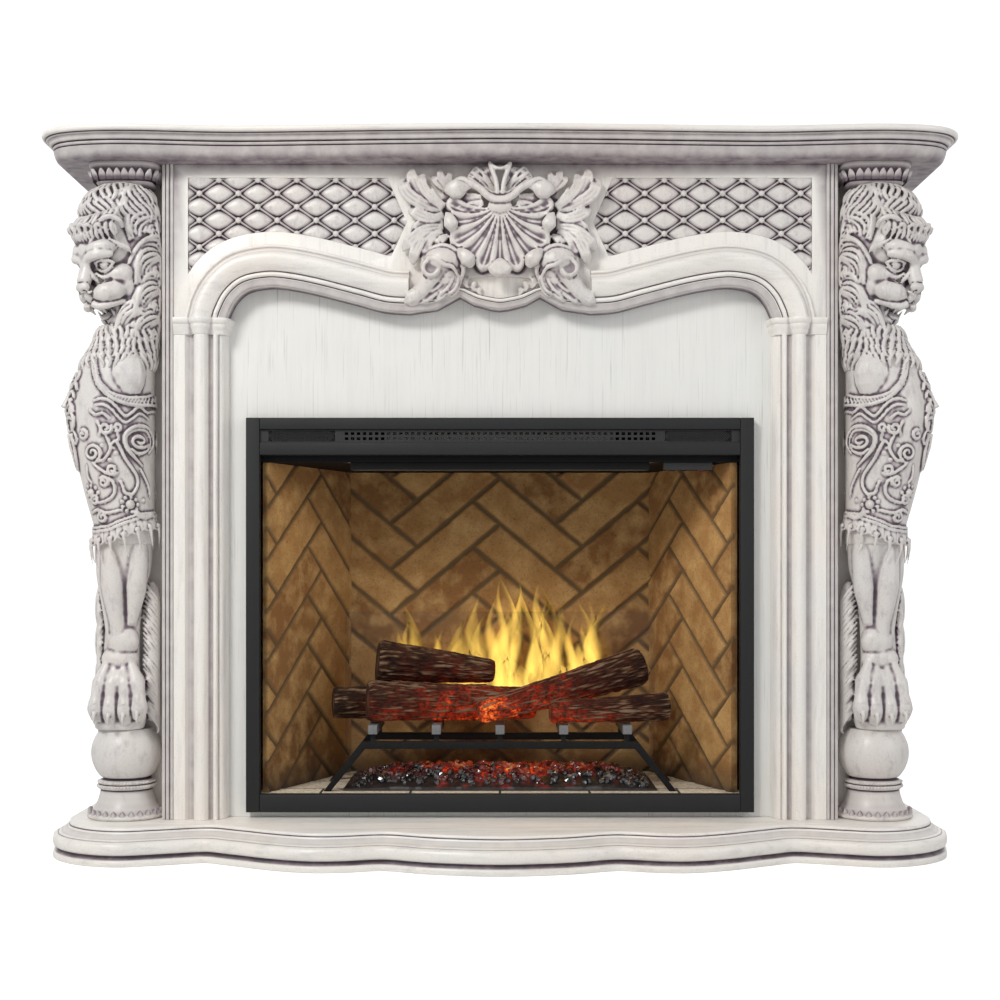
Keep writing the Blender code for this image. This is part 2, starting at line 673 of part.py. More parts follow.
def casing(steel):
    """The sheet-metal box round the firebox."""
    front, inner = VENEER_Y, INNER_CASING_HALF
    back = CASING_BACK_Y - SHEET - GAP
    for side in (1, -1):
        ends = sorted((side * (CASING_HALF - SHEET), side * CASING_HALF))
        name = "casing_side_" + side_name(side)
        box(name, (ends[0], front, CASING_BOTTOM), (ends[1], CASING_BACK_Y, CASING_TOP), steel)
    box("casing_base", (-inner, front, CASING_BOTTOM), (inner, back, CASING_FLOOR), steel)
    box("casing_top", (-inner, front, CASING_TOP - SHEET), (inner, back, CASING_TOP), steel)
    low = (-inner, CASING_BACK_Y - SHEET, CASING_BOTTOM)
    box("casing_back", low, (inner, CASING_BACK_Y, CASING_TOP), steel)


def hearth(clay, floor_finish, black):
    """Brick panels on a floor pan with a window for the embers, and the hood over them."""
    front, back = VENEER_Y + 0.002, FACE_Y + BRICK_DEPTH
    bottom, top = FLOOR_HEIGHT + GAP, HOOD_HEIGHT - GAP
    half_front, half_back = BRICK_FRONT_WIDTH / 2, BRICK_BACK_WIDTH / 2
    spread = (half_front - half_back) / (back - front)
    outward = BRICK_THICKNESS * math.sqrt(1 + spread**2)
    for side in (1, -1):
        plan = [
            (half_front, front), (half_front + outward, front),
            (half_back + outward, back - GAP), (half_back, back - GAP),
        ]
        prism("brick_" + side_name(side), mirrored(plan, side), "Z", bottom, top, clay)
    wide = half_back + outward
    box("brick_back", (-wide, back, bottom), (wide, back + BRICK_THICKNESS, top), clay)
    half, under = INNER_CASING_HALF, FLOOR_HEIGHT - FLOOR_THICKNESS
    skirt = 0.003
    section = [
        (half, CASING_FLOOR + GAP), (half, FLOOR_HEIGHT), (-half, FLOOR_HEIGHT),
        (-half, CASING_FLOOR + GAP), (-half + skirt, CASING_FLOOR + GAP), (-half + skirt, under),
        (half - skirt, under), (half - skirt, CASING_FLOOR + GAP),
    ]
    rear = CASING_BACK_Y - SHEET - GAP
    floor = prism("hearth_floor", section, "Y", VENEER_Y, rear, floor_finish)
    window = EMBER_WIDTH / 2 - EMBER_RIM
    low = (-window, FACE_Y + EMBER_SETBACK + EMBER_RIM, under - 0.01)
    high = (window, FACE_Y + EMBER_SETBACK + EMBER_DEPTH - EMBER_RIM, FLOOR_HEIGHT + 0.01)
    cut(floor, box("ember_window_cutter", low, high, floor_finish))
    box("hood", (-half, VENEER_Y, HOOD_HEIGHT), (half, back + BRICK_THICKNESS, HOOD_TOP), black)


def flame_screen(acrylic):
    y, half = FACE_Y + SCREEN_SETBACK, SCREEN_WIDTH / 2
    low = FLOOR_HEIGHT + GAP
    box("flame_screen", (-half, y, low), (half, y + SCREEN_THICKNESS, low + SCREEN_HEIGHT), acrylic)


def ember_bed(ember):
    """A lumpy translucent shell, hollow underneath, that rests on the hearth round its window."""
    columns, rows = 18, 7
    front, half = FACE_Y + EMBER_SETBACK, EMBER_WIDTH / 2
    base = FLOOR_HEIGHT + GAP

    def top(i, j):
        across, back = 2 * i / columns - 1, j / rows
        end = min(1.0, 3.2 * (1 - abs(across)))
        lumps = 0.82 + 0.12 * math.sin(i * 2.3 + j * 1.9) + 0.06 * math.cos(i * 1.1 - j * 2.7)
        edge = math.sin(math.pi * min(max(back * 0.8 + 0.12, 0), 1)) ** 0.6
        return base + 0.007 + (EMBER_HEIGHT - 0.007) * end * edge * lumps

    def spot(i, j, inset):
        x = -half + inset + (EMBER_WIDTH - 2 * inset) * i / columns
        return x, front + inset + (EMBER_DEPTH - 2 * inset) * j / rows

    upper = {(i, j): (*spot(i, j, 0), top(i, j)) for i in range(columns + 1) for j in range(rows + 1)}
    lower = {}
    for i, j in upper:
        height = max(top(i, j) - EMBER_WALL, base + 0.002)
        lower[i, j] = (*spot(i, j, EMBER_WALL), height)
    rim = [(i, 0) for i in range(columns)] + [(columns, j) for j in range(rows)]
    rim += [(i, rows) for i in range(columns, 0, -1)] + [(0, j) for j in range(rows, 0, -1)]
    points = list(upper.values()) + list(lower.values())
    place = {key: n for n, key in enumerate(upper)}
    under = {key: n + len(upper) for n, key in enumerate(lower)}
    outer_foot = {key: len(points) + n for n, key in enumerate(rim)}
    points += [(*spot(*key, 0), base) for key in rim]
    inner_foot = {key: len(points) + n for n, key in enumerate(rim)}
    points += [(*spot(*key, EMBER_WALL), base) for key in rim]
    faces = []
    for i in range(columns):
        for j in range(rows):
            cell = [(i, j), (i + 1, j), (i + 1, j + 1), (i, j + 1)]
            faces.append([place[c] for c in cell])
            faces.append([under[c] for c in reversed(cell)])
    for start, end in zip(rim, rim[1:] + rim[:1]):
        faces.append([place[start], outer_foot[start], outer_foot[end], place[end]])
        faces.append([outer_foot[start], inner_foot[start], inner_foot[end], outer_foot[end]])
        faces.append([inner_foot[start], under[start], under[end], inner_foot[end]])
    solid("ember_bed", points, faces, ember, 60)


def grate(iron):
    """Two splayed trestles joined by five square bars."""
    half, bar = GRATE_WIDTH / 2, GRATE_BAR / 2
    front = FACE_Y + GRATE_FRONT
    rail = FLOOR_HEIGHT + GRATE_RAIL_HEIGHT
    bars = FLOOR_HEIGHT + GRATE_BAR_HEIGHT
    foot = FLOOR_HEIGHT + GAP
    post = 0.006
    trestles = []
    for name, y in (("grate", front + post), ("rear_trestle", front + GRATE_DEPTH - 3 * post)):
        section = [
            (half, rail - post), (half + GRATE_SPLAY - post, foot), (half + GRATE_SPLAY + post, foot),
            (half + post, rail + post), (-half - post, rail + post), (-half - GRATE_SPLAY - post, foot),
            (-half - GRATE_SPLAY + post, foot), (-half, rail - post),
        ]
        trestles.append(prism(name, section, "Y", y, y + 2 * post, iron))
    body, rear = trestles
    fuse(body, rear)
    for i in range(GRATE_BARS):
        x = (i - (GRATE_BARS - 1) / 2) * GRATE_BAR_PITCH
        low, high = (x - bar, front, bars - bar), (x + bar, front + GRATE_DEPTH, bars + bar)
        fuse(body, box(f"grate_bar_{i}", low, high, iron))
        for row, y in enumerate((front + post, front + GRATE_DEPTH - 3 * post)):
            low, high = (x - 0.004, y + 0.002, rail), (x + 0.004, y + 2 * post - 0.002, bars)
            fuse(body, box(f"grate_post_{i}_{row}", low, high, iron))


# Logs: ends as (x, behind the face, above the grate bars) with the radius there
LOGS = {
    "log_front": ((-0.2250, 0.075, 0.0381, 0.0378), (0.060, 0.135, 0.0305, 0.0300)),
    "log_left": ((-0.2900, 0.135, 0.0305, 0.0300), (-0.020, 0.195, 0.0303, 0.0295)),
    "log_back": ((-0.2140, 0.152, 0.1011, 0.0415), (-0.012, 0.188, 0.0817, 0.0220)),
    "log_crossing": ((-0.0350, 0.045, 0.0205, 0.0198), (0.245, 0.135, 0.0930, 0.0360)),
    "log_right": ((0.0850, 0.0455, 0.0207, 0.0205), (0.285, 0.080, 0.0272, 0.0270)),
}
LOG_SIDES, LOG_RINGS = 12, 7


def logs(bark):
    base = FLOOR_HEIGHT + GRATE_BAR_HEIGHT + GRATE_BAR / 2 + GAP
    for number, (name, ends) in enumerate(LOGS.items()):
        start, end = (Vector((x, FACE_Y + y, base + z)) for x, y, z, _ in ends)
        along = (end - start).normalized()
        side = along.cross(Vector((0, 0, 1))).normalized()
        up = side.cross(along)
        rings = []
        for k in range(LOG_RINGS):
            t = k / (LOG_RINGS - 1)
            radius = ends[0][3] + (ends[1][3] - ends[0][3]) * t
            ring = []
            for i in range(LOG_SIDES):
                turn = 2 * math.pi * i / LOG_SIDES
                rough = 1 - 0.008 * (1 + math.sin(turn)) * (1 + math.sin(3 * turn + 5 * t + number))
                spoke = side * math.cos(turn) + up * math.sin(turn)
                ring.append(start.lerp(end, t) + spoke * radius * rough)
            rings.append(ring)
        loft(name, rings, bark, 40)


def star(centre, tips, tip, root):
    """A ring of four points a blade, as pairs: two on the tip and two at the root."""
    ring = []
    for i in range(tips):
        turn = 2 * math.pi * i / tips
        for off, radius in ((-0.10, tip), (0.10, tip), (0.30, root), (0.70, root)):
            a = turn + off * 2 * math.pi / tips
            ring.append((centre[0] + radius * math.cos(a), centre[1] + radius * math.sin(a)))
    return ring


def finned_drum(name, centre, blades, radius, shaft, drum, ends, material):
    """A finned drum along X on a thin shaft. drum and ends are (low x, high x)."""
    fins = star(centre, blades, radius, radius * 0.62)
    thin = star(centre, blades, shaft, shaft)
    stations = [
        (ends[0], thin), (drum[0] - 0.0005, thin), (drum[0], fins), (drum[1], fins),
        (drum[1] + 0.0005, thin), (ends[1], thin),
    ]
    loft(name, [[(x, y, z) for y, z in ring] for x, ring in stations], material, 30)


def heater(steel, dark, metal):
    """Fan heater above the hood: housing, tangential wheel, element and motor."""
    half = HEATER_WIDTH / 2
    front = VENEER_Y + 0.002
    back = front + HEATER_DEPTH
    low, high = HOOD_TOP + GAP, CASING_TOP - SHEET - GAP
    wall = HEATER_WALL
    housing = box("heater_housing", (-half, front, low), (half, back, high), steel)
    inside = (-half + wall, front - 0.01, low + wall), (half - wall, back - wall, high - wall)
    cut(housing, box("heater_hollow_cutter", *inside, steel))
    axis = (back - wall - BLOWER_RADIUS - 0.006, (low + high) / 2)
    bore = BLOWER_SHAFT + RUNNING_CLEARANCE
    cut(housing, cylinder("blower_bore_cutter", "X", axis, bore, -half - 0.01, half + 0.01, steel, 24))
    drum = half - wall - 0.004
    finned_drum(
        "blower_wheel", axis, BLOWER_BLADES, BLOWER_RADIUS, BLOWER_SHAFT, (-drum, drum), (-half, half), metal
    )
    cylinder("blower_motor", "X", axis, BLOWER_RADIUS - 0.001, half + GAP, half + MOTOR_LENGTH, dark)
    middle = front + 0.012
    reach = half - wall - 0.006
    wave = []
    for i in range(2 * HEATER_FOLDS + 1):
        x = -reach + i * reach / HEATER_FOLDS
        wave.append((x, middle + (HEATER_FOLD_DEPTH / 2 if i % 2 else -HEATER_FOLD_DEPTH / 2)))
    outline = wave + [(x + 0.0004, y + HEATER_STRIP) for x, y in wave[::-1]]
    prism("heating_element", outline, "Z", low + wall + GAP, high - wall - GAP, metal)
    board = CONTROL_BOARD_SIZE
    x = half + MOTOR_LENGTH + 0.02
    y = front + 0.02
    plate = box("control_board", (x, y, low), (x + board, y + board, low + 0.002), dark)
    tall = low + CONTROL_BOARD_HEIGHT
    fuse(plate, box("relay", (x + 0.01, y + 0.012, low + 0.001), (x + 0.03, y + 0.036, tall), dark))
    low_part = low + CONTROL_BOARD_HEIGHT * 0.6
    fuse(plate, box("terminals", (x + 0.045, y + 0.05, low + 0.001), (x + 0.08, y + 0.066, low_part), dark))


def flame_drive(steel, dark, metal, circuit):
    """The spinning reflector that makes the flames flicker, its cradle, motor and lights."""
    foot = CASING_FLOOR + GAP
    axis = (FACE_Y + ROTOR_SETBACK, foot + ROTOR_HEIGHT)
    half, wall = ROTOR_LENGTH / 2, CRADLE_WALL
    ear = foot + ROTOR_HEIGHT + 0.010
    section = [
        (-half, foot), (half, foot), (half, ear), (half - wall, ear), (half - wall, foot + wall),
        (-half + wall, foot + wall), (-half + wall, ear), (-half, ear),
    ]
    front, back = axis[0] - CRADLE_DEPTH / 2, axis[0] + CRADLE_DEPTH / 2
    cradle = prism("rotor_cradle", section, "Y", front, back, steel)
    bore = ROTOR_SHAFT + RUNNING_CLEARANCE
    cut(cradle, cylinder("rotor_bore_cutter", "X", axis, bore, -half - 0.01, half + 0.01, steel, 24))
    drum = half - wall - 0.006
    finned_drum("flicker_rotor", axis, 4, ROTOR_RADIUS, ROTOR_SHAFT, (-drum, drum), (-half, half), metal)
    motor_end = half + FLICKER_MOTOR_LENGTH
    cylinder("flicker_motor", "X", axis, FLICKER_MOTOR_RADIUS, half + GAP, motor_end, dark)
    reach = half - wall - 0.012
    low = foot + wall + GAP
    top = low + LED_BOARD_HEIGHT
    outline = [(-reach, low), (reach, low), (reach, top)]
    pitch = 2 * reach / LED_COUNT
    for i in range(LED_COUNT):
        x = reach - (i + 0.5) * pitch
        outline += [(x + 0.003, top), (x + 0.003, top + 0.002), (x - 0.003, top + 0.002), (x - 0.003, top)]
    outline.append((-reach, top))
    prism("led_board", outline, "Y", front + 0.002, axis[0] - ROTOR_RADIUS - 0.004, circuit)


def controls(black, button_finish, lamp):
    """Downlight and a small panel of controls, both under the hood's front edge."""
    top = HOOD_HEIGHT - GAP
    front = VENEER_Y + 0.004
    half = DOWNLIGHT_WIDTH / 2
    low = (-half, front, top - DOWNLIGHT_SECTION)
    box("downlight_strip", low, (half, front + DOWNLIGHT_DEPTH, top), lamp)
    left, right = PANEL_X - PANEL_WIDTH / 2, PANEL_X + PANEL_WIDTH / 2
    bottom = top - PANEL_HEIGHT
    panel = box("control_panel", (left, front, bottom), (right, front + PANEL_DEPTH, top), black)
    middle = front + PANEL_DEPTH / 2
    low, high = bottom - BUTTON_PROUD, bottom - BUTTON_PROUD + BUTTON_HEIGHT
    for number, name in enumerate(("heat_button", "flame_button")):
        centre = (left + 0.014 + number * BUTTON_PITCH, middle)
        hole = BUTTON_RADIUS + RUNNING_CLEARANCE
        cut(panel, cylinder(name + "_cutter", "Z", centre, hole, bottom - 0.01, top + 0.01, black))
        cylinder(name, "Z", centre, BUTTON_RADIUS, low, high, button_finish)
    x = right - 0.018
    long, wide = ROCKER_LENGTH / 2, ROCKER_WIDTH / 2
    room = 0.0008
    low_corner = (x - wide - RUNNING_CLEARANCE, middle - long - room, bottom - 0.01)
    high_corner = (x + wide + RUNNING_CLEARANCE, middle + long + room, top + 0.01)
    cut(panel, box("rocker_cutter", low_corner, high_corner, black))
    pivot = bottom + 0.004
    outline = [
        (middle - long, pivot), (middle - long + 0.0012, bottom - 0.0022), (middle, bottom + 0.0004),
        (middle + long, bottom - 0.0002), (middle + long, pivot), (middle, pivot + 0.003),
    ]
    prism("power_rocker", outline, "X", x - wide, x + wide, button_finish)


def firebox():
    black = finish("trim_black", (0.045, 0.047, 0.048), 0.45)
    steel = finish("casing_steel", (0.55, 0.56, 0.57), 0.40, 0.9)
    clay = finish("brick_clay", (0.55, 0.42, 0.26), 0.85)
    floor_finish = finish("hearth_clay", (0.38, 0.35, 0.28), 0.85)
    hood_black = finish("hood_black", (0.02, 0.02, 0.02), 0.60)
    dark = finish("motor_black", (0.06, 0.06, 0.06), 0.50)
    metal = finish("bright_metal", (0.75, 0.75, 0.76), 0.30, 1.0)
    circuit = finish("circuit_green", (0.05, 0.22, 0.10), 0.40)
    acrylic = finish("clear_acrylic", (0.85, 0.85, 0.85), 0.08)
    ember = finish("ember_resin", (0.75, 0.16, 0.05), 0.50)
    iron = finish("grate_iron", (0.03, 0.03, 0.03), 0.55, 0.6)
    bark = finish("log_resin", (0.20, 0.10, 0.06), 0.80)
    lamp = finish("lamp_bar", (0.10, 0.10, 0.10), 0.50)
    knob = finish("control_plastic", (0.12, 0.12, 0.12), 0.45)
    trim_frame(black)
    casing(steel)
    hearth(clay, floor_finish, hood_black)
    flame_screen(acrylic)
    ember_bed(ember)
    grate(iron)
    logs(bark)
    heater(steel, dark, metal)
    flame_drive(steel, dark, metal, circuit)
    controls(hood_black, knob, lamp)
    start = CASING_BACK_Y + GAP
    centre = (GLAND_X, CASING_BOTTOM + GLAND_HEIGHT - PLINTH_HEIGHT)
    cylinder("cable_gland", "Y", centre, GLAND_RADIUS, start, start + GLAND_LENGTH, dark, 12)


clear_scene()
mantelpiece()
firebox()
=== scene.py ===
import math

import bmesh
import bpy
import numpy as np
from mathutils import Matrix, Vector, noise

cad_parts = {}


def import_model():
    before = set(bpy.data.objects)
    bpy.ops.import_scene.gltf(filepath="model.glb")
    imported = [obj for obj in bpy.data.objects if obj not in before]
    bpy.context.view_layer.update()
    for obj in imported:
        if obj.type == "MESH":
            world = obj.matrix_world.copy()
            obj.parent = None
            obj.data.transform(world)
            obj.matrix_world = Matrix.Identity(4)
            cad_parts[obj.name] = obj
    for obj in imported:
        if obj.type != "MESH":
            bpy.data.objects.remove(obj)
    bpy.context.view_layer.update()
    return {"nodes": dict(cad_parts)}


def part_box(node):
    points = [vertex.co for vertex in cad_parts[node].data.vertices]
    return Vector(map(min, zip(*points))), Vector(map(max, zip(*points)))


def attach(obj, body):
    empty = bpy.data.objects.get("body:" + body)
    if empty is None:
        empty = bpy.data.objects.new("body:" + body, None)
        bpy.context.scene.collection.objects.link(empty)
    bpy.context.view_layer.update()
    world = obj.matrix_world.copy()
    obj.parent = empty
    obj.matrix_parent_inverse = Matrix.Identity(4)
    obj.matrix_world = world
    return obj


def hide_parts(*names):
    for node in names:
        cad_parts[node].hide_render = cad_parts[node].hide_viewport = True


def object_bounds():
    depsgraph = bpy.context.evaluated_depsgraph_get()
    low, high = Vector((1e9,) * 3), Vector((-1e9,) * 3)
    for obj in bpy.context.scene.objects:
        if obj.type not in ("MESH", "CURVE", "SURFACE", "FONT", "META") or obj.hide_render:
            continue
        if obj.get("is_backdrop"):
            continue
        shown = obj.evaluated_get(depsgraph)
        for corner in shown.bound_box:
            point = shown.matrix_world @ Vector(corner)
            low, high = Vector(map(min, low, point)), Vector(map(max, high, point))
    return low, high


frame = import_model()
nodes = frame["nodes"]

# Studio: the suite stands on a pale floor before a pale wall of light. One large soft lamp hangs over
# the viewer's left shoulder and a weaker one to the right, and the camera looks level at the mouth.
face_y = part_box("header_board")[0].y
wing_y = face_y + 0.055
eye_distance, eye_height, horizon_drop = 2.5, 0.47, 0.070


def placed(name, data):
    """A new object in the scene."""
    piece = bpy.data.objects.new(name, data)
    bpy.context.scene.collection.objects.link(piece)
    return piece


lens = bpy.data.cameras.new("eye")
lens.sensor_width = 36.0
lens.lens = 54.54
lens.shift_y = horizon_drop
eye = placed("eye", lens)
eye.location = (0.0, face_y - eye_distance, eye_height)
eye.rotation_euler = (math.radians(90), 0.0, 0.0)
bpy.context.scene.camera = eye


def feed(tree, node, feeds):
    """Gives each named input of a node a value, or the socket that it is linked to."""
    for key, value in feeds.items():
        socket = node.inputs[key]
        if isinstance(value, bpy.types.NodeSocket):
            tree.links.new(value, socket)
        else:
            socket.default_value = value


def put(tree, kind, feeds=None, **settings):
    """Adds a node with its settings and feeds."""
    node = tree.nodes.new(kind)
    for key, value in settings.items():
        setattr(node, key, value)
    feed(tree, node, feeds or {})
    return node


def sums(tree, operation, *values):
    """A sum on sockets or numbers, such as MULTIPLY or ADD, kept as one node."""
    return put(tree, "ShaderNodeMath", dict(enumerate(values)), operation=operation).outputs[0]


def soft_lamp(name, place, aim, size, watts, tint):
    """A square studio lamp at a place, turned to what it aims at."""
    data = bpy.data.lights.new(name, "AREA")
    data.shape = "RECTANGLE"
    data.size, data.size_y = size
    data.energy = watts
    data.color = tint
    lamp = placed(name, data)
    lamp.location = place
    lamp.rotation_euler = (Vector(aim) - Vector(place)).to_track_quat("-Z", "Y").to_euler()


soft_lamp("key_lamp", (-1.7, -2.6, 2.7), (0.0, 0.0, 0.6), (1.0, 0.8), 68.0, (1.0, 0.985, 0.95))
soft_lamp("side_lamp", (2.6, -2.0, 1.5), (0.0, 0.0, 0.6), (1.2, 1.2), 15.0, (0.97, 0.98, 1.0))
soft_lamp("back_lamp", (0.8, 3.0, 2.6), (0.0, 0.0, 0.6), (2.0, 2.0), 30.0, (1.0, 1.0, 1.0))

sky = bpy.data.worlds.new("studio")
sky.use_nodes = True
sky_tree = sky.node_tree
sky_tree.nodes.clear()
seen_by = put(sky_tree, "ShaderNodeLightPath")
any_sight = seen_by.outputs["Is Camera Ray"]
for ray in ("Is Glossy Ray", "Is Transmission Ray"):
    any_sight = sums(sky_tree, "MAXIMUM", any_sight, seen_by.outputs[ray])
level = put(sky_tree, "ShaderNodeMapRange", {"Value": any_sight, "To Min": 0.38, "To Max": 1.1})
glow = put(sky_tree, "ShaderNodeBackground", {"Color": (1, 1, 1, 1), "Strength": level.outputs[0]})
put(sky_tree, "ShaderNodeOutputWorld", {"Surface": glow.outputs[0]})
bpy.context.scene.world = sky
bpy.context.scene.view_settings.view_transform = "Standard"

floor_half = 9
floor_mesh = bpy.data.meshes.new("studio_floor")
floor_corners = [(x * floor_half, y * floor_half, 0) for x, y in ((-1, -1), (1, -1), (1, 1), (-1, 1))]
floor_mesh.from_pydata(floor_corners, [], [(0, 1, 2, 3)])
floor = placed("studio_floor", floor_mesh)
pale = bpy.data.materials.new("studio_floor")
pale.use_nodes = True
tree = pale.node_tree
tree.nodes.clear()
matt = put(tree, "ShaderNodeBsdfDiffuse", {"Color": (0.90, 0.90, 0.90, 1)})
lit = put(tree, "ShaderNodeEmission", {"Color": (1, 1, 1, 1), "Strength": 0.66})
dark = put(tree, "ShaderNodeEmission", {"Color": (0, 0, 0, 1), "Strength": 0.0})
sight = put(tree, "ShaderNodeLightPath").outputs["Is Camera Ray"]
chosen = put(tree, "ShaderNodeMixShader", {0: sight, 1: dark.outputs[0], 2: lit.outputs[0]})
both = put(tree, "ShaderNodeAddShader", {0: matt.outputs[0], 1: chosen.outputs[0]})
put(tree, "ShaderNodeOutputMaterial", {"Surface": both.outputs[0]})
floor_mesh.materials.append(pale)
floor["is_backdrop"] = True

# Plinth: one serpentine base that everything stands on, machined from board and painted antique
# white. Mauve-grey glaze was rubbed into it and wiped off again, so it stays in the hollows.
PLINTH_FRONT = [
    (0.0, 1.0), (0.14, 0.90), (0.251, 0.718), (0.356, 0.816), (0.418, 0.816), (0.495, 0.684),
    (0.583, 0.458), (0.662, 0.297), (0.771, 0.440), (0.847, 0.532), (0.92, 0.426), (0.975, 0.165),
    (1.0, -0.20),
]


def through(points, steps):
    """A Catmull-Rom curve through points of any dimension, as an array."""
    known = np.asarray(points, float)
    known = np.vstack([2 * known[0] - known[1], known, 2 * known[-1] - known[-2]])
    t = (np.arange(steps) / steps)[:, None]
    runs = []
    for a, b, c, d in zip(known, known[1:], known[2:], known[3:]):
        bend, twist = 2 * a - 5 * b + 4 * c - d, 3 * b - a - 3 * c + d
        runs.append(0.5 * (2 * b + (c - a) * t + bend * t**2 + twist * t**3))
    return np.vstack(runs + [known[-2:-1]])


def evened(curve, spacing):
    """The same curve with its points at even distances."""
    curve = np.asarray(curve, float)
    run = np.concatenate([[0], np.cumsum(np.linalg.norm(np.diff(curve, axis=0), axis=1))])
    stations = np.linspace(0, run[-1], max(2, int(round(run[-1] / spacing)) + 1))
    return np.stack([np.interp(stations, run, curve[:, k]) for k in range(curve.shape[1])], 1)


def moulding(stretches, spacing):
    """A section made of stretches that each run smoothly and meet at corners."""
    return np.vstack([evened(through(s, 8) if len(s) > 2 else s, spacing) for s in stretches])


def hollows(section, reach, depth):
    """How far each point of an open section lies in a hollow, from 0 to 1, for the glaze."""
    run = np.concatenate([[0], np.cumsum(np.linalg.norm(np.diff(section, axis=0), axis=1))])
    before = np.stack([np.interp(run - reach, run, section[:, k]) for k in (0, 1)], 1)
    after = np.stack([np.interp(run + reach, run, section[:, k]) for k in (0, 1)], 1)
    along = after - before
    out = np.stack([-along[:, 1], along[:, 0]], 1) / np.maximum(np.linalg.norm(along, axis=1), 1e-9)[:, None]
    return np.clip((((before + after) / 2 - section) * out).sum(1) / depth, -1, 1)


def left_normals(curve):
    """The left-hand unit normal at each point of an open plane curve."""
    run = np.gradient(curve, axis=0)
    out = np.stack([-run[:, 1], run[:, 0]], 1)
    return out / np.linalg.norm(out, axis=1)[:, None]


def grid_faces(rows, columns, closed):
    """Quads of a grid of points. A closed grid joins its last column to its first."""
    i, j = np.meshgrid(np.arange(rows - 1), np.arange(columns if closed else columns - 1), indexing="ij")
    k = (j + 1) % columns
    low, high = i * columns, (i + 1) * columns
    return np.stack([low + j, low + k, high + k, high + j], -1).reshape(-1, 4).tolist()


def capped(rows, columns):
    """The faces of a closed grid of points, with both its ends filled in."""
    ends = [list(range(columns)), list(range((rows - 1) * columns, rows * columns))]
    return grid_faces(rows, columns, True) + ends


def made(name, points, faces, finish, crease=35, marks=None):
    """A mesh object with its faces pointing out. marks are named values, one for each point."""
    mesh = bpy.data.meshes.new(name)
    mesh.from_pydata(np.asarray(points, float).tolist(), [], [list(map(int, f)) for f in faces])
    for label, values in (marks or {}).items():
        mesh.attributes.new(label, "FLOAT", "POINT").data.foreach_set("value", np.asarray(values, np.float32))
    form = bmesh.new()
    form.from_mesh(mesh)
    bmesh.ops.remove_doubles(form, verts=form.verts, dist=1e-6)
    bmesh.ops.recalc_face_normals(form, faces=form.faces)
    form.to_mesh(mesh)
    form.free()
    mesh.shade_smooth()
    mesh.set_sharp_from_angle(angle=math.radians(crease))
    mesh.materials.append(finish)
    return placed(name, mesh)


def seat(piece, body, slot, *stands_for):
    """Puts a finished piece on its body and hides the nodes it stands for. slot is not used."""
    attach(piece, body)
    if stands_for:
        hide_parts(*stands_for)
    return piece


def surface(name, roughness, metallic=0.0, coat=0.0):
    """A material and its Principled shader, ready for nodes."""
    material = bpy.data.materials.new(name)
    material.use_nodes = True
    tree = material.node_tree
    shader = tree.nodes["Principled BSDF"]
    feed(tree, shader, {"Roughness": roughness, "Metallic": metallic, "Coat Weight": coat,
                        "Coat Roughness": 0.25})
    return material, tree, shader


def here(tree):
    """The place on the object, in metres."""
    return put(tree, "ShaderNodeTexCoord").outputs["Object"]


def speckle(tree, scale, detail=3.0, stretch=(1, 1, 1), roughness=0.55):
    """Noise on object coordinates, in patches per metre. stretch below 1 draws it out along an axis."""
    drawn = put(tree, "ShaderNodeMapping", {"Vector": here(tree), "Scale": stretch})
    made_noise = put(tree, "ShaderNodeTexNoise", {"Vector": drawn.outputs[0], "Scale": scale,
                     "Detail": detail, "Roughness": roughness})
    return made_noise.outputs["Fac"]


def ramp(tree, value, *stops):
    """Colours at places from 0 to 1, blended along a value."""
    made_ramp = put(tree, "ShaderNodeValToRGB", {"Fac": value})
    elements = made_ramp.color_ramp.elements
    while len(elements) < len(stops):
        elements.new(0.5)
    for element, (at, colour) in zip(elements, stops):
        element.position = at
        element.color = (*colour, 1.0)
    return made_ramp.outputs["Color"]


def mask(tree, value, start, end, most=1.0):
    """Black up to one place of a value and pale from another on."""
    return ramp(tree, value, (start, (0, 0, 0)), (end, (most, most, most)))


def between(tree, value, low, high):
    """A value from 0 to 1 brought to a range of its own."""
    return put(tree, "ShaderNodeMapRange", {"Value": value, "To Min": low, "To Max": high}).outputs[0]


def blend(tree, share, first, second, mode="MIX"):
    """Two colours mixed by a share, each a value or a socket."""
    mixed = put(tree, "ShaderNodeMix", data_type="RGBA", blend_type=mode)
    for index, value in ((0, share), (6, first), (7, second)):
        if isinstance(value, bpy.types.NodeSocket):
            tree.links.new(value, mixed.inputs[index])
        else:
            mixed.inputs[index].default_value = value if index == 0 else (*value, 1.0)
    return mixed.outputs[2]


def mark(tree, label):
    """A mesh's own named value at each point."""
    return put(tree, "ShaderNodeAttribute", attribute_name=label).outputs["Fac"]


def bumped(tree, shader, height, strength, distance):
    """Small relief from a height, up to a distance in metres."""
    bump = put(tree, "ShaderNodeBump", {"Height": height, "Strength": strength, "Distance": distance})
    feed(tree, shader, {"Normal": bump.outputs[0]})


# Glaze colours: they paint the glaze in the hollows, and the painted shade that some pieces' hollow marks
# also hold.
GLAZE_AND_SHADE = (0.20, 0.155, 0.185)
DEEP_GLAZE_AND_SHADE = (0.055, 0.040, 0.052)


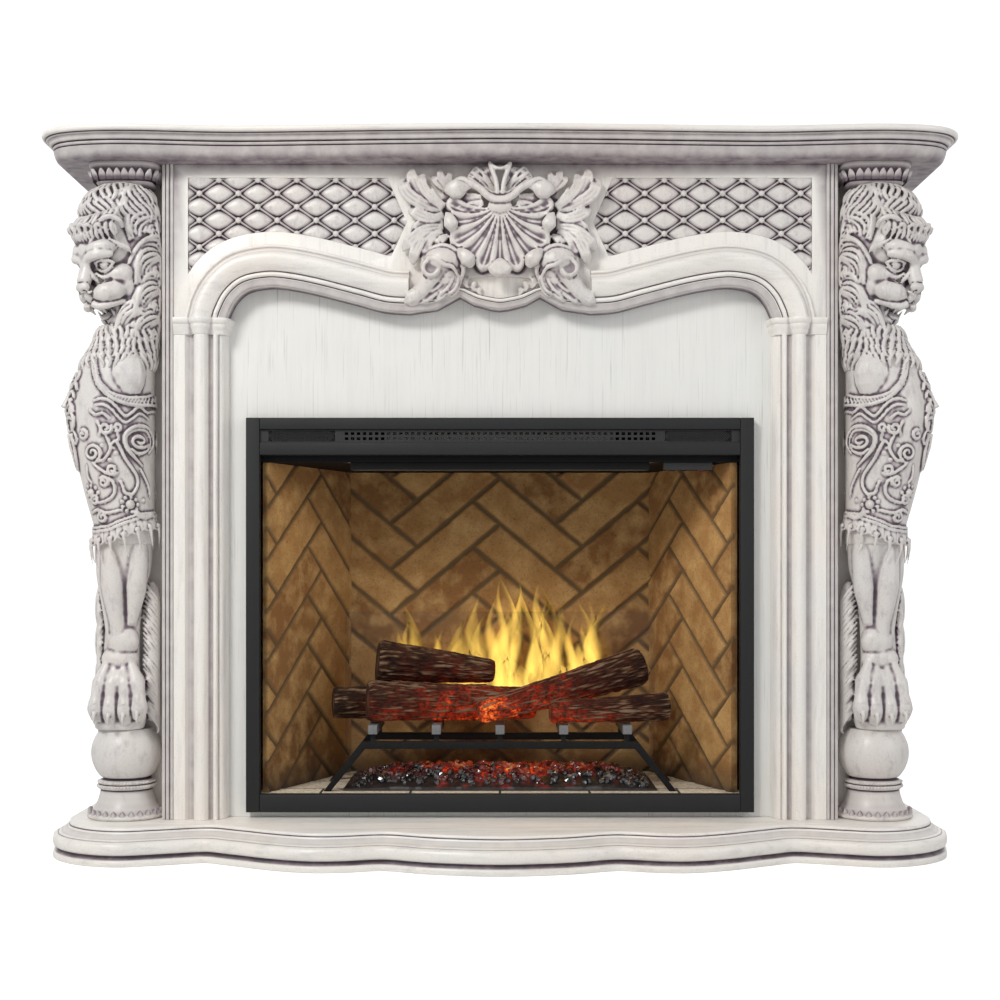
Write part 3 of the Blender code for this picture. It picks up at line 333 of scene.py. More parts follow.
def antique(name, streak, depth=1.0, roughness=0.42, film=0.0):
    """Antique white paint with glaze in its hollows, and painted shade where a piece's hollow mark holds it.
    streak draws the brush marks out along an axis.
    """
    material, tree, shader = surface(name, roughness, coat=0.12)
    cloud = speckle(tree, 5.0, 4.0)
    white = ramp(tree, cloud, (0.30, (0.86, 0.85, 0.825)), (0.50, (0.90, 0.87, 0.825)),
                 (0.70, (0.90, 0.845, 0.79)))
    brushed = speckle(tree, 60.0, 5.0, streak, 0.7)
    thin = sums(tree, "MULTIPLY", mask(tree, brushed, 0.50, 0.84), 0.22 * depth)
    grain = speckle(tree, 420.0, 4.0, (1, 1, 1), 0.75)
    pepper = sums(tree, "MULTIPLY", mask(tree, grain, 0.56, 0.78), 0.22 * depth)
    laid = sums(tree, "MULTIPLY", mark(tree, "hollow"), sums(tree, "ADD", 0.55, speckle(tree, 45.0, 4.0)))
    held = sums(tree, "MAXIMUM", sums(tree, "MULTIPLY", laid, depth), sums(tree, "ADD", thin, pepper))
    held = sums(tree, "ADD", held, film)
    colour = blend(tree, mask(tree, held, 0.0, 0.62), white, GLAZE_AND_SHADE)
    colour = blend(tree, mask(tree, held, 0.55, 1.0), colour, DEEP_GLAZE_AND_SHADE)
    feed(tree, shader, {"Base Color": colour, "Roughness": between(tree, held, roughness - 0.06, 0.72)})
    bumped(tree, shader, sums(tree, "ADD", sums(tree, "MULTIPLY", brushed, 0.7), grain), 0.12, 0.0006)
    return material


long_paint = antique("antique_white_lengthwise", (0.12, 1, 1))
upright_paint = antique("antique_white_upright", (1, 1, 0.10))


def serpentine(name, front, stretches, low, high):
    """A slab with a serpentine moulded front and ends, and a flat back, that fills a box."""
    section = moulding(stretches, 1.3) / 1000
    levels = low.z + section[:, 0] * (high.z - low.z) / section[-1, 0]
    overhang = section[:, 1].max()
    half, reach = high.x - overhang, face_y - low.y - overhang
    right = np.array([(half * x, face_y - reach * y) for x, y in front])
    plan = evened(through(np.vstack([right[:0:-1] * (-1, 1), right]), 12), 0.006)
    out = -left_normals(plan)
    plan = np.vstack([[(-half, high.y)], plan, [(half, high.y)]])
    out = np.vstack([[(-1, 0)], out, [(1, 0)]])
    rings = np.empty((len(section), len(plan), 3))
    rings[:, :, :2] = plan[None] + out[None] * section[:, 1, None, None]
    rings[:, :, 2] = levels[:, None]
    glaze = np.repeat(np.clip(hollows(section, 0.0035, 0.0016), 0, 1), len(plan))
    faces = capped(len(section), len(plan))
    return made(name, rings.reshape(-1, 3), faces, long_paint, 38, {"hollow": glaze})


# Each stretch is (height, overhang) in millimetres: base fillet, quirk, torus, cove and top edge
plinth_edge = [
    [(0, 28), (1.2, 29), (5.5, 29.4), (9.4, 28.6), (10.6, 27.0)],
    [(10.6, 25.4), (13.0, 22.4), (16.0, 21.6), (18.0, 23.6)],
    [(18.0, 24.6), (20.5, 27.8), (25.5, 29.5), (31.0, 29.4), (36.0, 27.2), (38.6, 23.0), (38.8, 20.4)],
    [(40.4, 19.4), (42.2, 14.0), (45.6, 8.6), (49.6, 4.8), (51.6, 4.0)],
    [(51.8, 2.2), (54.4, 2.6), (56.6, 1.8), (58, 0)],
]
plinth = serpentine("moulded_plinth", PLINTH_FRONT, plinth_edge, *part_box("plinth"))
seat(plinth, "suite", "antique_white", "plinth")

# Carcass: two side boards, each with the wing behind its lion and the outer stile of the front, a
# raw back rail that ties them at the wall, and the deck that the firebox stands on.
def eased(name, node, finish, width):
    """A copy of a node's shape with its corners rounded off by a small bevel."""
    mesh = nodes[node].data.copy()
    mesh.name = name
    form = bmesh.new()
    form.from_mesh(mesh)
    bmesh.ops.remove_doubles(form, verts=form.verts, dist=1e-5)
    bmesh.ops.dissolve_limit(form, angle_limit=math.radians(1), verts=form.verts, edges=form.edges)
    form.to_mesh(mesh)
    form.free()
    mesh.materials.clear()
    mesh.materials.append(finish)
    return rounded(placed(name, mesh), width, 3, 30, 40)


def rounded(rough, width, segments, crease, sharp):
    """The object with a small bevel on every edge that bends by more than crease degrees."""
    ease = rough.modifiers.new("ease", "BEVEL")
    ease.width, ease.segments, ease.limit_method = width, segments, "ANGLE"
    ease.angle_limit = math.radians(crease)
    settled = settle(rough)
    settled.data.shade_smooth()
    settled.data.set_sharp_from_angle(angle=math.radians(sharp))
    return settled


def settle(piece):
    """Turns an object with its modifiers into a plain mesh under the same name."""
    bpy.context.view_layer.update()
    seen = piece.evaluated_get(bpy.context.evaluated_depsgraph_get())
    mesh = bpy.data.meshes.new_from_object(seen)
    name, finish = piece.name, piece.data.materials[:] if piece.data.materials else []
    bpy.data.objects.remove(piece, do_unlink=True)
    mesh.name = name
    if not mesh.materials:
        for material in finish:
            mesh.materials.append(material)
    return placed(name, mesh)


def points_of(piece):
    """A piece's points, one row each."""
    flat = np.empty(len(piece.data.vertices) * 3)
    piece.data.vertices.foreach_get("co", flat)
    return flat.reshape(-1, 3)


def set_marks(piece, label, values):
    """Gives a piece one named value for each point."""
    found = piece.data.attributes.get(label) or piece.data.attributes.new(label, "FLOAT", "POINT")
    found.data.foreach_set("value", np.asarray(values, np.float32))


def toned(colour, share):
    """A colour made lighter or darker."""
    return tuple(min(1.0, c * share) for c in colour)


def raw_board(name, colour):
    """Pressed board: fine chips and a few dark flecks."""
    material, tree, shader = surface(name, 0.78)
    chips = speckle(tree, 260.0, 6.0, (1, 1, 1), 0.75)
    broad = sums(tree, "MULTIPLY", speckle(tree, 7.0, 3.0), 0.35)
    shade = ramp(tree, chips, (0.30, toned(colour, 0.62)), (0.52, colour), (0.72, toned(colour, 1.25)))
    feed(tree, shader, {"Base Color": blend(tree, broad, shade, toned(colour, 0.78))})
    bumped(tree, shader, chips, 0.35, 0.0008)
    return material


board_finish = raw_board("pressed_board", (0.60, 0.46, 0.31))
for side in ("left", "right"):
    carcass = eased("painted_carcass_" + side, "carcass_side_" + side, upright_paint, 0.0016)
    # Painted shade: the recessed wing behind the lion is a little darker than the rest of the board.
    recessed = np.abs(points_of(carcass)[:, 1] - wing_y) < 0.004
    set_marks(carcass, "hollow", np.where(recessed, 0.16, 0.12))
    seat(carcass, "suite", "antique_white", "carcass_side_" + side)
for node in ("back_rail", "firebox_deck"):
    seat(eased("sawn_" + node, node, board_finish, 0.0008), "suite", "raw_board", node)

# Pilasters: upright mouldings that lap over the recessed panel, each with a small moulded cap where
# the arch starts. They are run from the same cutter as the arch: cove, bead, cove, roll and flat.
inner_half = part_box("pilaster_right")[0].x
header_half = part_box("pilaster_right")[1].x
band = (header_half - inner_half) * 1000
pilaster_back = -30.0
HANDS = ((-1, "left"), (1, "right"))
# Each stretch is (distance from the inner edge, height off the face) in millimetres
PILASTER_RUN = [
    [(0, -29), (1.6, -19), (5.0, -9.5), (9.5, -4.2), (13.6, -2.4)],
    [(13.6, -1.0), (14.3, 2.2), (16.2, 4.6), (18.0, 5.2), (19.8, 4.6), (21.6, 2.2), (22.2, -1.0)],
    [(22.2, -1.8), (24.6, -3.4), (27.2, -3.2), (29.4, -1.6)],
    [(29.6, 0.0), (30.6, 5.4), (34.2, 10.8), (38.6, 13.4), (41.8, 14.0), (45.0, 13.4), (49.2, 10.8),
     (52.6, 5.4), (53.6, 0.0)],
    [(53.8, -1.6), (57.0, -4.6), (62.0, -4.2), (66.4, -0.8), (68.6, 2.0)],
    [(68.6, 2.0), (band, 2.0)],
]


def upright(name, side, plan_mm, levels, finish, glaze):
    """A moulding that stands upright. levels are (height, growth of the plan) pairs."""
    out = left_normals(plan_mm)
    rings = []
    for height, grow in levels:
        edge = plan_mm + out * grow
        edge[:, 0] = np.minimum(edge[:, 0], band)
        plan = np.vstack([edge, [(band, pilaster_back), (edge[0, 0], pilaster_back)]])
        x = side * (inner_half + plan[:, 0] / 1000)
        rings.append(np.stack([x, face_y - plan[:, 1] / 1000, np.full(len(plan), height)], 1))
    marks = {"hollow": np.tile(np.append(glaze, [0, 0]), len(levels))}
    return made(name, np.vstack(rings), capped(len(levels), len(rings[0])), finish, 40, marks)


pilaster_plan = moulding(PILASTER_RUN, 0.9)
pilaster_glaze = np.clip(0.70 * hollows(pilaster_plan, 3.0, 1.6), 0, 0.34)
soft_plan = evened(through([(0, -26), (4, -3), (14, 1.5), (26, 3), (34, 11), (42, 14.5), (50, 11), (58, 2.5),
                            (70, 3), (band, 3)], 8), 1.2)
cap_low, cap_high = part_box("pilaster_cap_right")
CAP_PROFILE = [(0.0, -0.4), (0.10, 0.6), (0.18, 1.6), (0.28, 1.8), (0.36, 3.4), (0.50, 4.0), (0.62, 4.2),
               (0.68, 6.2), (0.80, 7.6), (0.92, 8.0), (1.0, 7.4)]
for side, hand in HANDS:
    foot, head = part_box("pilaster_" + hand)[0].z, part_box("pilaster_" + hand)[1].z
    run = [(level, 0.0) for level in np.linspace(foot, head, 25)]
    shaft = upright("moulded_pilaster_" + hand, side, pilaster_plan, run, upright_paint, pilaster_glaze)
    seat(shaft, "suite", "antique_white", "pilaster_" + hand)
    run = [(cap_low.z + (cap_high.z - cap_low.z) * share, grow) for share, grow in CAP_PROFILE]
    soft_glaze = 0.5 * np.clip(hollows(soft_plan, 5.0, 2.0), 0, 1)
    cap = upright("moulded_cap_" + hand, side, soft_plan, run, long_paint, soft_glaze)
    seat(cap, "suite", "antique_white", "pilaster_cap_" + hand)


# Stile mouldings: a slim bead and cove run up the front edge of each side board, glazed in the grooves, with
# an even grey over the strip as painted shade.
STILE_RUN = [[(0, 0.4), (0.4, 2.2), (4.0, 2.6), (4.6, 0.8)], [(4.8, 0.3), (6.0, 0.3)],
             [(6.2, 1.6), (7.4, 3.4), (9.2, 3.9), (11.0, 3.2), (12.0, 1.4)], [(12.2, 0.3), (13.2, 0.3)],
             [(13.4, 1.8), (15.0, 1.6), (17.0, 0.9), (17.8, 0.3)]]
stile_section = moulding(STILE_RUN, 0.7)
# Glaze in the grooves over an even grey floor; the grey is painted shade.
stile_glaze_and_shade = np.maximum(0.26, 0.8 * np.clip(hollows(stile_section, 1.8, 1.0), 0, 1))
stile_inner, stile_width, end_gap = header_half + 0.0010, 17.8, 0.0005
stile_foot, stile_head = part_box("plinth")[1].z + end_gap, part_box("shelf")[0].z - end_gap
for side, hand in HANDS:
    rows = []
    for height in np.linspace(stile_foot, stile_head, 20):
        x = side * (stile_inner + np.append(stile_section[:, 0], [stile_width, 0]) / 1000)
        y = face_y + 0.0002 - np.append(stile_section[:, 1], [0, 0]) / 1000
        rows.append(np.stack([x, y, np.full(len(x), height)], 1))
    faces = capped(len(rows), len(rows[0]))
    strip = made("stile_bead_" + hand, np.vstack(rows), faces, upright_paint, 40,
                 {"hollow": np.tile(np.append(stile_glaze_and_shade, [0.3, 0.3]), len(rows))})
    seat(strip, "suite", "antique_white")


# Recessed panel: a veneered board with a fine upright grain that the paint has sunk into.
panel_finish, tree, shader = surface("grained_panel", 0.50, coat=0.06)
fine = speckle(tree, 300.0, 3.0, (1, 1, 0.022), 0.6)
long_grain = speckle(tree, 90.0, 4.0, (1, 1, 0.03), 0.65)
broad = speckle(tree, 4.0, 3.0)
ground = ramp(tree, broad, (0.30, (0.80, 0.815, 0.80)), (0.55, (0.84, 0.835, 0.81)),
              (0.75, (0.80, 0.79, 0.765)))
pores = sums(tree, "MULTIPLY", mask(tree, fine, 0.56, 0.70), mask(tree, long_grain, 0.40, 0.66))
shade = blend(tree, sums(tree, "MULTIPLY", pores, 0.75), ground, (0.40, 0.40, 0.38))
shade = blend(tree, sums(tree, "MULTIPLY", ramp(tree, long_grain, (0.30, (1, 1, 1)), (0.5, (0, 0, 0))), 0.20),
              shade, (0.62, 0.63, 0.61))
feed(tree, shader, {"Base Color": shade})
bumped(tree, shader, sums(tree, "SUBTRACT", long_grain, pores), 0.25, 0.0005)
nodes["veneer_panel"].data.materials.clear()
nodes["veneer_panel"].data.materials.append(panel_finish)

# Header: the arched board under the shelf. Its lower edge carries the arch moulding, and a window on
# each side of the cartouche holds a quilted lattice panel.
hair = 0.0003
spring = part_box("pilaster_cap_right")[1].z + hair
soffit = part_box("shelf")[0].z
header_thickness, arch_width, arch_rise, cartouche_half = 0.030, 0.0687, 0.0516, 0.150
window_side, window_top, window_foot = 0.0235, 0.0228, 0.0215
ARCH = [
    (1.0, 0.0), (0.971, 0.517), (0.9275, 0.864), (0.8646, 1.0), (0.8008, 1.0), (0.690, 0.831),
    (0.532, 0.481), (0.425, 0.236),
]
ARCH_END = 0.174
CREST = [(0.691, 0.306), (0.441, 0.703), (0.286, 0.448), (0.093, 0.306), (0.0, 0.271)]


def arch_edge(steps):
    """The arch's lower edge on the right, from the spring to the cartouche, and its outward normals."""
    known = [(x * inner_half, spring + rise * arch_rise) for x, rise in ARCH]
    known.append((cartouche_half + hair, spring + ARCH_END * arch_rise))
    curve = through(known, steps)
    out = -left_normals(curve)
    out[0], out[-1] = (1, 0), (0, 1)
    return curve, out


def window_outline():
    """The right window, counter-clockwise seen from the front."""
    outer, top, inner = header_half - window_side, soffit - window_top, cartouche_half * 1.193
    curve, out = arch_edge(8)
    lower = [tuple(p) for p in curve + out * (arch_width + window_foot) if inner
             + 0.004 < p[0] < outer - 0.004]
    end = lower[-1][1]
    tip = [(inner, end), (cartouche_half * 1.025, end * 0.57 + top * 0.43), (cartouche_half * 1.24, top)]
    return np.array(([(outer, top), (outer, lower[0][1] - 0.012)] + lower + tip)[::-1])


def slab(name, outline, front, back, finish):
    """An outline of (x, z) pairs with a thickness along y."""
    rows = [np.insert(np.asarray(outline, float), 1, y, axis=1) for y in (front, back)]
    return made(name, np.vstack(rows), capped(2, len(outline)), finish, 30)


def combine(body, tool, operation):
    """Cuts a tool's shape out of a body, or keeps only what is inside it."""
    change = body.modifiers.new(operation.lower(), "BOOLEAN")
    change.operation = operation
    change.solver = "EXACT"
    change.use_self = True
    change.object = tool
    plain = settle(body)
    bpy.data.objects.remove(tool, do_unlink=True)
    return plain


curve, _ = arch_edge(8)
crest = [(x * cartouche_half, spring + rise * arch_rise) for x, rise in CREST]
right_half = np.array([(header_half, soffit - hair), (header_half, spring)] + curve.tolist() + crest)
whole = np.vstack([right_half, right_half[-2::-1] * (-1, 1)])
header = slab("painted_header", whole, face_y, face_y + header_thickness, upright_paint)
window = window_outline()
past = 0.01
for side in (1, -1):
    hole = slab("window", window * (side, 1), face_y - past, face_y + header_thickness + past, upright_paint)
    header = combine(header, hole, "DIFFERENCE")
header = rounded(header, 0.0012, 2, 50, 35)
spots = points_of(header)
# Painted shade: the window reveals darken as they run back from the face, and a band just under the shelf
# darkens.
deep = np.clip((spots[:, 1] - face_y) / 0.006, 0, 1)
shade_under_shelf = np.exp(-((soffit - spots[:, 2]) / 0.010) ** 2)
set_marks(header, "hollow", np.maximum(deep * 0.9, shade_under_shelf * 0.5))
seat(header, "suite", "antique_white", "header_board")

# Arch mouldings: a run of their own, an edge fillet, bead, broad roll and outer bead, bent round the
# arch from the pilaster caps and stopped by the cartouche.
ARCH_RUN = [
    [(0, 0), (0.6, 2.6), (2.4, 4.4), (7.0, 4.8), (11.0, 5.6), (13.0, 7.0)],
    [(13.2, 4.6), (14.8, 4.4)],
    [(15.0, 7.0), (16.4, 9.0), (18.6, 9.8), (20.8, 9.2), (22.2, 7.0)],
    [(22.4, 4.6), (24.4, 4.4)],
    [(24.6, 6.0), (28.0, 9.4), (34.0, 13.4), (41.0, 16.4), (47.0, 17.0), (52.0, 15.2), (55.0, 11.4),
     (56.2, 7.4)],
    [(56.4, 5.2), (59.4, 4.2), (62.6, 4.6)],
    [(62.8, 5.4), (64.0, 6.8), (65.8, 7.2), (67.6, 5.8), (68.7, 2.0)],
]
arch_section = moulding(ARCH_RUN, 0.9)
# Glaze in the moulding's hollows, heavier over its inner 50 mm, and an even band of painted shade along the
# inner edge below the roll.
arch_glaze_and_shade = np.clip(hollows(arch_section, 2.4, 1.6), 0, 1) * np.where(arch_section[:, 0] < 50, 0.85, 0.40)
arch_glaze_and_shade = np.maximum(arch_glaze_and_shade, 0.30 * (arch_section[:, 0] < 12))


def bent_moulding(name, line, section, width, glaze, side=1, squeeze=1.0):
    """A moulding whose section, in millimetres and closed at its width, is bent along a line."""
    profile = np.vstack([section, [(width, 0.0)]]) / 1000
    edge, out = line
    across = edge[:, None] + out[:, None] * profile[None, :, :1] * squeeze
    depth = np.broadcast_to(face_y - hair - profile[None, :, 1], across.shape[:2])
    points = np.stack([side * across[..., 0], depth, across[..., 1]], -1).reshape(-1, 3)
    marks = {"hollow": np.tile(np.append(glaze, 0.3), len(edge))}
    return made(name, points, capped(len(edge), len(profile)), long_paint, 40, marks)


for side, hand in HANDS:
    arch = bent_moulding("moulded_arch_" + hand, arch_edge(14), arch_section, arch_width * 1000,
                         arch_glaze_and_shade, side)
    seat(arch, "suite", "antique_white", "arch_moulding_" + hand)

# Lattice panels: moulded resin panels let into the header. Round straps cross in diamonds, with a
# knob on each crossing and a stuffed-looking cushion in each diamond.
lattice_front = face_y + 0.0068
cell_width, cell_height = 0.0644, 0.0444


def circle(count):
    """Evenly spaced angles all round."""
    return np.linspace(0, 2 * np.pi, count, endpoint=False)


def pointed(rows, sides):
    """The faces that close a grid of rings to the two points that follow it."""
    first, last, top = rows * sides, rows * sides + 1, (rows - 1) * sides
    return ([[first, (k + 1) % sides, k] for k in range(sides)]
            + [[last, top + k, top + (k + 1) % sides] for k in range(sides)])


def tube(points, radii, sides=8, flat=1.0):
    """A closed tube round a path, with a radius at each point. flat squeezes it along its second axis."""
    path = np.asarray(points, float)
    radii = np.broadcast_to(np.asarray(radii, float), len(path))
    run = np.gradient(path, axis=0)
    run /= np.maximum(np.linalg.norm(run, axis=1), 1e-12)[:, None]
    across = np.cross(run, (0.0, -1.0, 0.0))
    weak = np.linalg.norm(across, axis=1) < 0.15
    across[weak] = np.cross(run[weak], (0.0, 0.0, 1.0))
    across /= np.linalg.norm(across, axis=1)[:, None]
    lift = np.cross(across, run)
    turn = circle(sides)
    ring = np.cos(turn)[None, :, None] * across[:, None] + flat * np.sin(turn)[None, :, None] * lift[:, None]
    rows = path[:, None] + ring * radii[:, None, None]
    points = np.vstack([rows.reshape(-1, 3), path[:1], path[-1:]])
    return points, grid_faces(len(path), sides, True) + pointed(len(path), sides)


def ball(centre, radii, rings=8, sides=12):
    """A closed ellipsoid."""
    tall = np.linspace(-np.pi / 2, np.pi / 2, rings + 1)[1:-1]
    turn = circle(sides)
    belt = np.stack([np.cos(tall)[:, None] * np.cos(turn), np.cos(tall)[:, None] * np.sin(turn),
                     np.repeat(np.sin(tall)[:, None], sides, 1)], -1).reshape(-1, 3)
    points = np.vstack([belt, [(0, 0, -1), (0, 0, 1)]]) * np.asarray(radii, float) + np.asarray(centre, float)
    return points, grid_faces(rings - 1, sides, True) + pointed(rings - 1, sides)


def gather(forms):
    """Several (points, faces) forms as one."""
    points, faces, base = [], [], 0
    for form_points, form_faces in forms:
        points.append(form_points)
        faces += [[base + i for i in face] for face in form_faces]
        base += len(form_points)
    return np.vstack(points), faces


def pattern(name, *sizes):
    """An empty geometry tree with a Geometry input and named inputs, each (label, socket kind)."""
    tree = bpy.data.node_groups.new(name, "GeometryNodeTree")
    tree.interface.new_socket("Geometry", in_out="INPUT", socket_type="NodeSocketGeometry")
    labels = {label: tree.interface.new_socket(label, in_out="INPUT", socket_type=kind).identifier
              for label, kind in sizes}
    tree.interface.new_socket("Geometry", in_out="OUTPUT", socket_type="NodeSocketGeometry")
    return tree, put(tree, "NodeGroupInput"), labels


def grow(name, base, tree, labels, values):
    """Runs a geometry tree on a base mesh with its named inputs set, and keeps the plain result."""
    carrier = placed(name, base)
    change = carrier.modifiers.new("pattern", "NODES")
    change.node_group = tree
    for label, value in values.items():
        change[labels[label]] = value
    return settle(carrier)


def realised(tree, given, copies):
    """Ends a tree: its copies become plain mesh and take the finish."""
    real = put(tree, "GeometryNodeRealizeInstances", {0: copies.outputs[0]})
    coated = put(tree, "GeometryNodeSetMaterial", {"Geometry": real.outputs[0],
                 "Material": given.outputs["Finish"]})
    put(tree, "NodeGroupOutput", {0: coated.outputs[0]})


def helper(name, points, faces, finish):
    """A small shape to be repeated, kept out of sight until it is deleted."""
    shape = made(name, points, faces, finish, 50)
    shape.hide_render = True
    return shape


# The tree copies the cushion and the knot of straps on two staggered grids of points
tree, given, labels = pattern("quilted_lattice", ("Columns", "NodeSocketInt"), ("Rows", "NodeSocketInt"),
                              ("Cell Width", "NodeSocketFloat"), ("Cell Height", "NodeSocketFloat"),
                              ("Cushion", "NodeSocketObject"), ("Knot", "NodeSocketObject"),
                              ("Finish", "NodeSocketMaterial"))
spans, halves = [], []
for count, size in (("Columns", "Cell Width"), ("Rows", "Cell Height")):
    steps = sums(tree, "SUBTRACT", given.outputs[count], 1.0)
    spans.append(sums(tree, "MULTIPLY", steps, given.outputs[size]))
    halves.append(sums(tree, "MULTIPLY", given.outputs[size], 0.5))
net = put(tree, "GeometryNodeMeshGrid", {"Size X": spans[0], "Size Y": spans[1],
          "Vertices X": given.outputs["Columns"], "Vertices Y": given.outputs["Rows"]})
stood = put(tree, "GeometryNodeTransform", {"Geometry": net.outputs["Mesh"],
            "Rotation": (math.radians(90), 0.0, 0.0)})
joined = put(tree, "GeometryNodeJoinGeometry")
for label, moves in (("Cushion", ((0, 0), (1, 1))), ("Knot", ((1, 0), (0, 1)))):
    shape = put(tree, "GeometryNodeObjectInfo", {"Object": given.outputs[label]})
    for right, up in moves:
        shift = put(tree, "ShaderNodeCombineXYZ", {0: halves[0] if right else 0.0,
                                                   2: halves[1] if up else 0.0})
        moved = put(tree, "GeometryNodeTransform", {"Geometry": stood.outputs[0],
                    "Translation": shift.outputs[0]})
        copies = put(tree, "GeometryNodeInstanceOnPoints", {"Points": moved.outputs[0],
                     "Instance": shape.outputs["Geometry"]})
        tree.links.new(copies.outputs[0], joined.inputs[0])
realised(tree, given, joined)

resin_paint = antique("antique_white_resin", (1, 1, 0.5), 1.15, 0.40, 0.15)
across, up = np.cos(circle(28)), np.sin(circle(28))
diamond = np.stack([np.sign(across) * np.abs(across) ** 1.45 * 0.0256,
                    np.sign(up) * np.abs(up) ** 1.45 * 0.0160], 1)
puffed = [(1.0, -0.004), (1.0, 0.0006), (0.93, 0.0026), (0.80, 0.0042), (0.60, 0.0054), (0.34, 0.0061),
          (0.10, 0.0063)]
rings = [(x * share, lattice_front - rise, z * share) for share, rise in puffed for x, z in diamond]
cushion = helper("cushion", rings, capped(len(puffed), len(diamond)), resin_paint)
arms = []
arm = np.array([cell_width / 4 + 0.0006, 0.0, cell_height / 4 + 0.0004])
for flip in (1, -1):
    run = arm * (1, 1, flip)
    middle = np.array([0.0, lattice_front - 0.0024, 0.0])
    arms.append(tube([middle - run, middle, middle + run], 0.0018, 8))
arms.append(ball((0, lattice_front - 0.0034, 0), (0.0050, 0.0038, 0.0050), 8, 14))
knot = helper("knot", *gather(arms), resin_paint)

relief = grow("lattice_relief", bpy.data.meshes.new("net"), tree, labels, {
    "Columns": 8, "Rows": 4, "Cell Width": cell_width, "Cell Height": cell_height,
    "Cushion": cushion, "Knot": knot, "Finish": resin_paint})
for shape in (cushion, knot):
    bpy.data.objects.remove(shape, do_unlink=True)


def faces_of(mesh):
    """A mesh's faces as lists of point numbers."""
    corners = np.empty(len(mesh.loops), int)
    mesh.loops.foreach_get("vertex_index", corners)
    starts = np.empty(len(mesh.polygons), int)
    mesh.polygons.foreach_get("loop_start", starts)
    return np.split(corners, starts[1:])


def islands(mesh):
    """A number for each point, the same all over one separate form."""
    ends = np.empty(len(mesh.edges) * 2, int)
    mesh.edges.foreach_get("vertices", ends)
    a, b = ends.reshape(-1, 2).T
    group = np.arange(len(mesh.vertices))
    while True:
        low = np.minimum(group[a], group[b])
        spread = group.copy()
        np.minimum.at(spread, a, low)
        np.minimum.at(spread, b, low)
        if (spread == group).all():
            return group
        group = spread


def nearest_on(outline, spots):
    """For each spot, the nearest point of a closed outline, and whether the spot lies outside it."""
    a, b = outline, np.roll(outline, -1, axis=0)
    run = b - a
    share = ((spots[:, None] - a) * run).sum(-1) / (run**2).sum(-1)
    foot = a + run * np.clip(share, 0, 1)[..., None]
    gap = np.linalg.norm(spots[:, None] - foot, axis=-1)
    best = gap.argmin(axis=1)
    crosses = (a[:, 1] > spots[:, None, 1]) != (b[:, 1] > spots[:, None, 1])
    rise = np.where(run[:, 1] == 0, 1e-12, run[:, 1])
    reach = a[:, 0] + (spots[:, None, 1] - a[:, 1]) * run[:, 0] / rise
    inside = (crosses & (spots[:, None, 0] < reach)).sum(axis=1) % 2 == 1
    return foot[np.arange(len(spots)), best], ~inside


# The relief is pressed to the window's edge: forms wholly past it are dropped, the rest end at it
first_knot = (header_half - window_side - 0.0180, soffit - window_top - 0.0250)
relief_points = points_of(relief)
relief_points[:, 0] += first_knot[0] - 3 * cell_width
relief_points[:, 2] += first_knot[1] - 1.5 * cell_height
foot, outside = nearest_on(window, relief_points[:, (0, 2)])
group = islands(relief.data)
kept_groups = np.unique(group[~outside])
kept = np.isin(group, kept_groups)
number = np.cumsum(kept) - 1
relief_points[outside, 0] = foot[outside, 0]
relief_points[outside, 2] = foot[outside, 1]
relief_faces = [number[face] for face in faces_of(relief.data) if kept[face[0]]]
relief_points = relief_points[kept]
bpy.data.objects.remove(relief, do_unlink=True)

# Behind the relief lies the panel's own flat board, dark where straps and cushions meet: glaze in the
# crevices and painted shade that deepens with depth.
board_thickness = 0.011
board_points = np.vstack([np.insert(window, 1, y, axis=1)
                          for y in (lattice_front, lattice_front + board_thickness)])
board = (board_points, capped(2, len(window)))
height = np.concatenate([np.zeros(len(board_points)), lattice_front - relief_points[:, 1]])
for side, hand in ((1, "right"), (-1, "left")):
    points, faces = gather([board, (relief_points, relief_faces)])
    # Painted shade with the glaze: the lower the relief, the darker, and the tops are clear.
    glaze = np.interp(height, (0, 0.0028, 0.0042, 0.0052), (0.66, 0.32, 0.12, 0.0))
    panel = made("quilted_lattice_" + hand, points * (side, 1, 1), faces, resin_paint, 45, {"hollow": glaze})
    seat(panel, "suite", "carved_resin", "lattice_" + hand)

# Shelf: one serpentine mantel shelf, machined with a rounded lip, a cove and a bead between quirks
# above a swelling fascia, and painted like the plinth. It is screwed down to the header and the sides.
shelf_low, shelf_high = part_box("shelf")
SHELF_FRONT = [
    (0.0, 1.0), (0.235, 0.90), (0.404, 0.77), (0.555, 0.67), (0.651, 0.70), (0.807, 0.90),
    (0.898, 0.87), (0.965, 0.62), (0.993, 0.20), (1.0, -0.30),
]
shelf_edge = [
    [(0, 0), (1.2, 3.4), (4.0, 6.4), (9.0, 8.8), (14.0, 10.2), (17.6, 11.0)],
    [(17.8, 9.0), (19.6, 8.8)],
    [(19.8, 10.8), (21.0, 12.0), (23.0, 12.2), (24.2, 11.8)],
    [(24.4, 10.4), (26.0, 10.4)],
    [(26.2, 14.6), (27.2, 16.2), (31.0, 17.8), (34.4, 20.6), (35.4, 23.4)],
    [(35.6, 22.0), (37.0, 22.2)],
    [(37.2, 26.4), (38.2, 28.8), (41.0, 30.0), (44.0, 29.8), (46.2, 28.4), (47.0, 25.6)],
]
shelf = serpentine("moulded_shelf", SHELF_FRONT, shelf_edge, shelf_low, shelf_high)


def marks_of(piece, label):
    """A piece's named values."""
    values = np.empty(len(piece.data.vertices))
    piece.data.attributes[label].data.foreach_get("value", values)
    return values


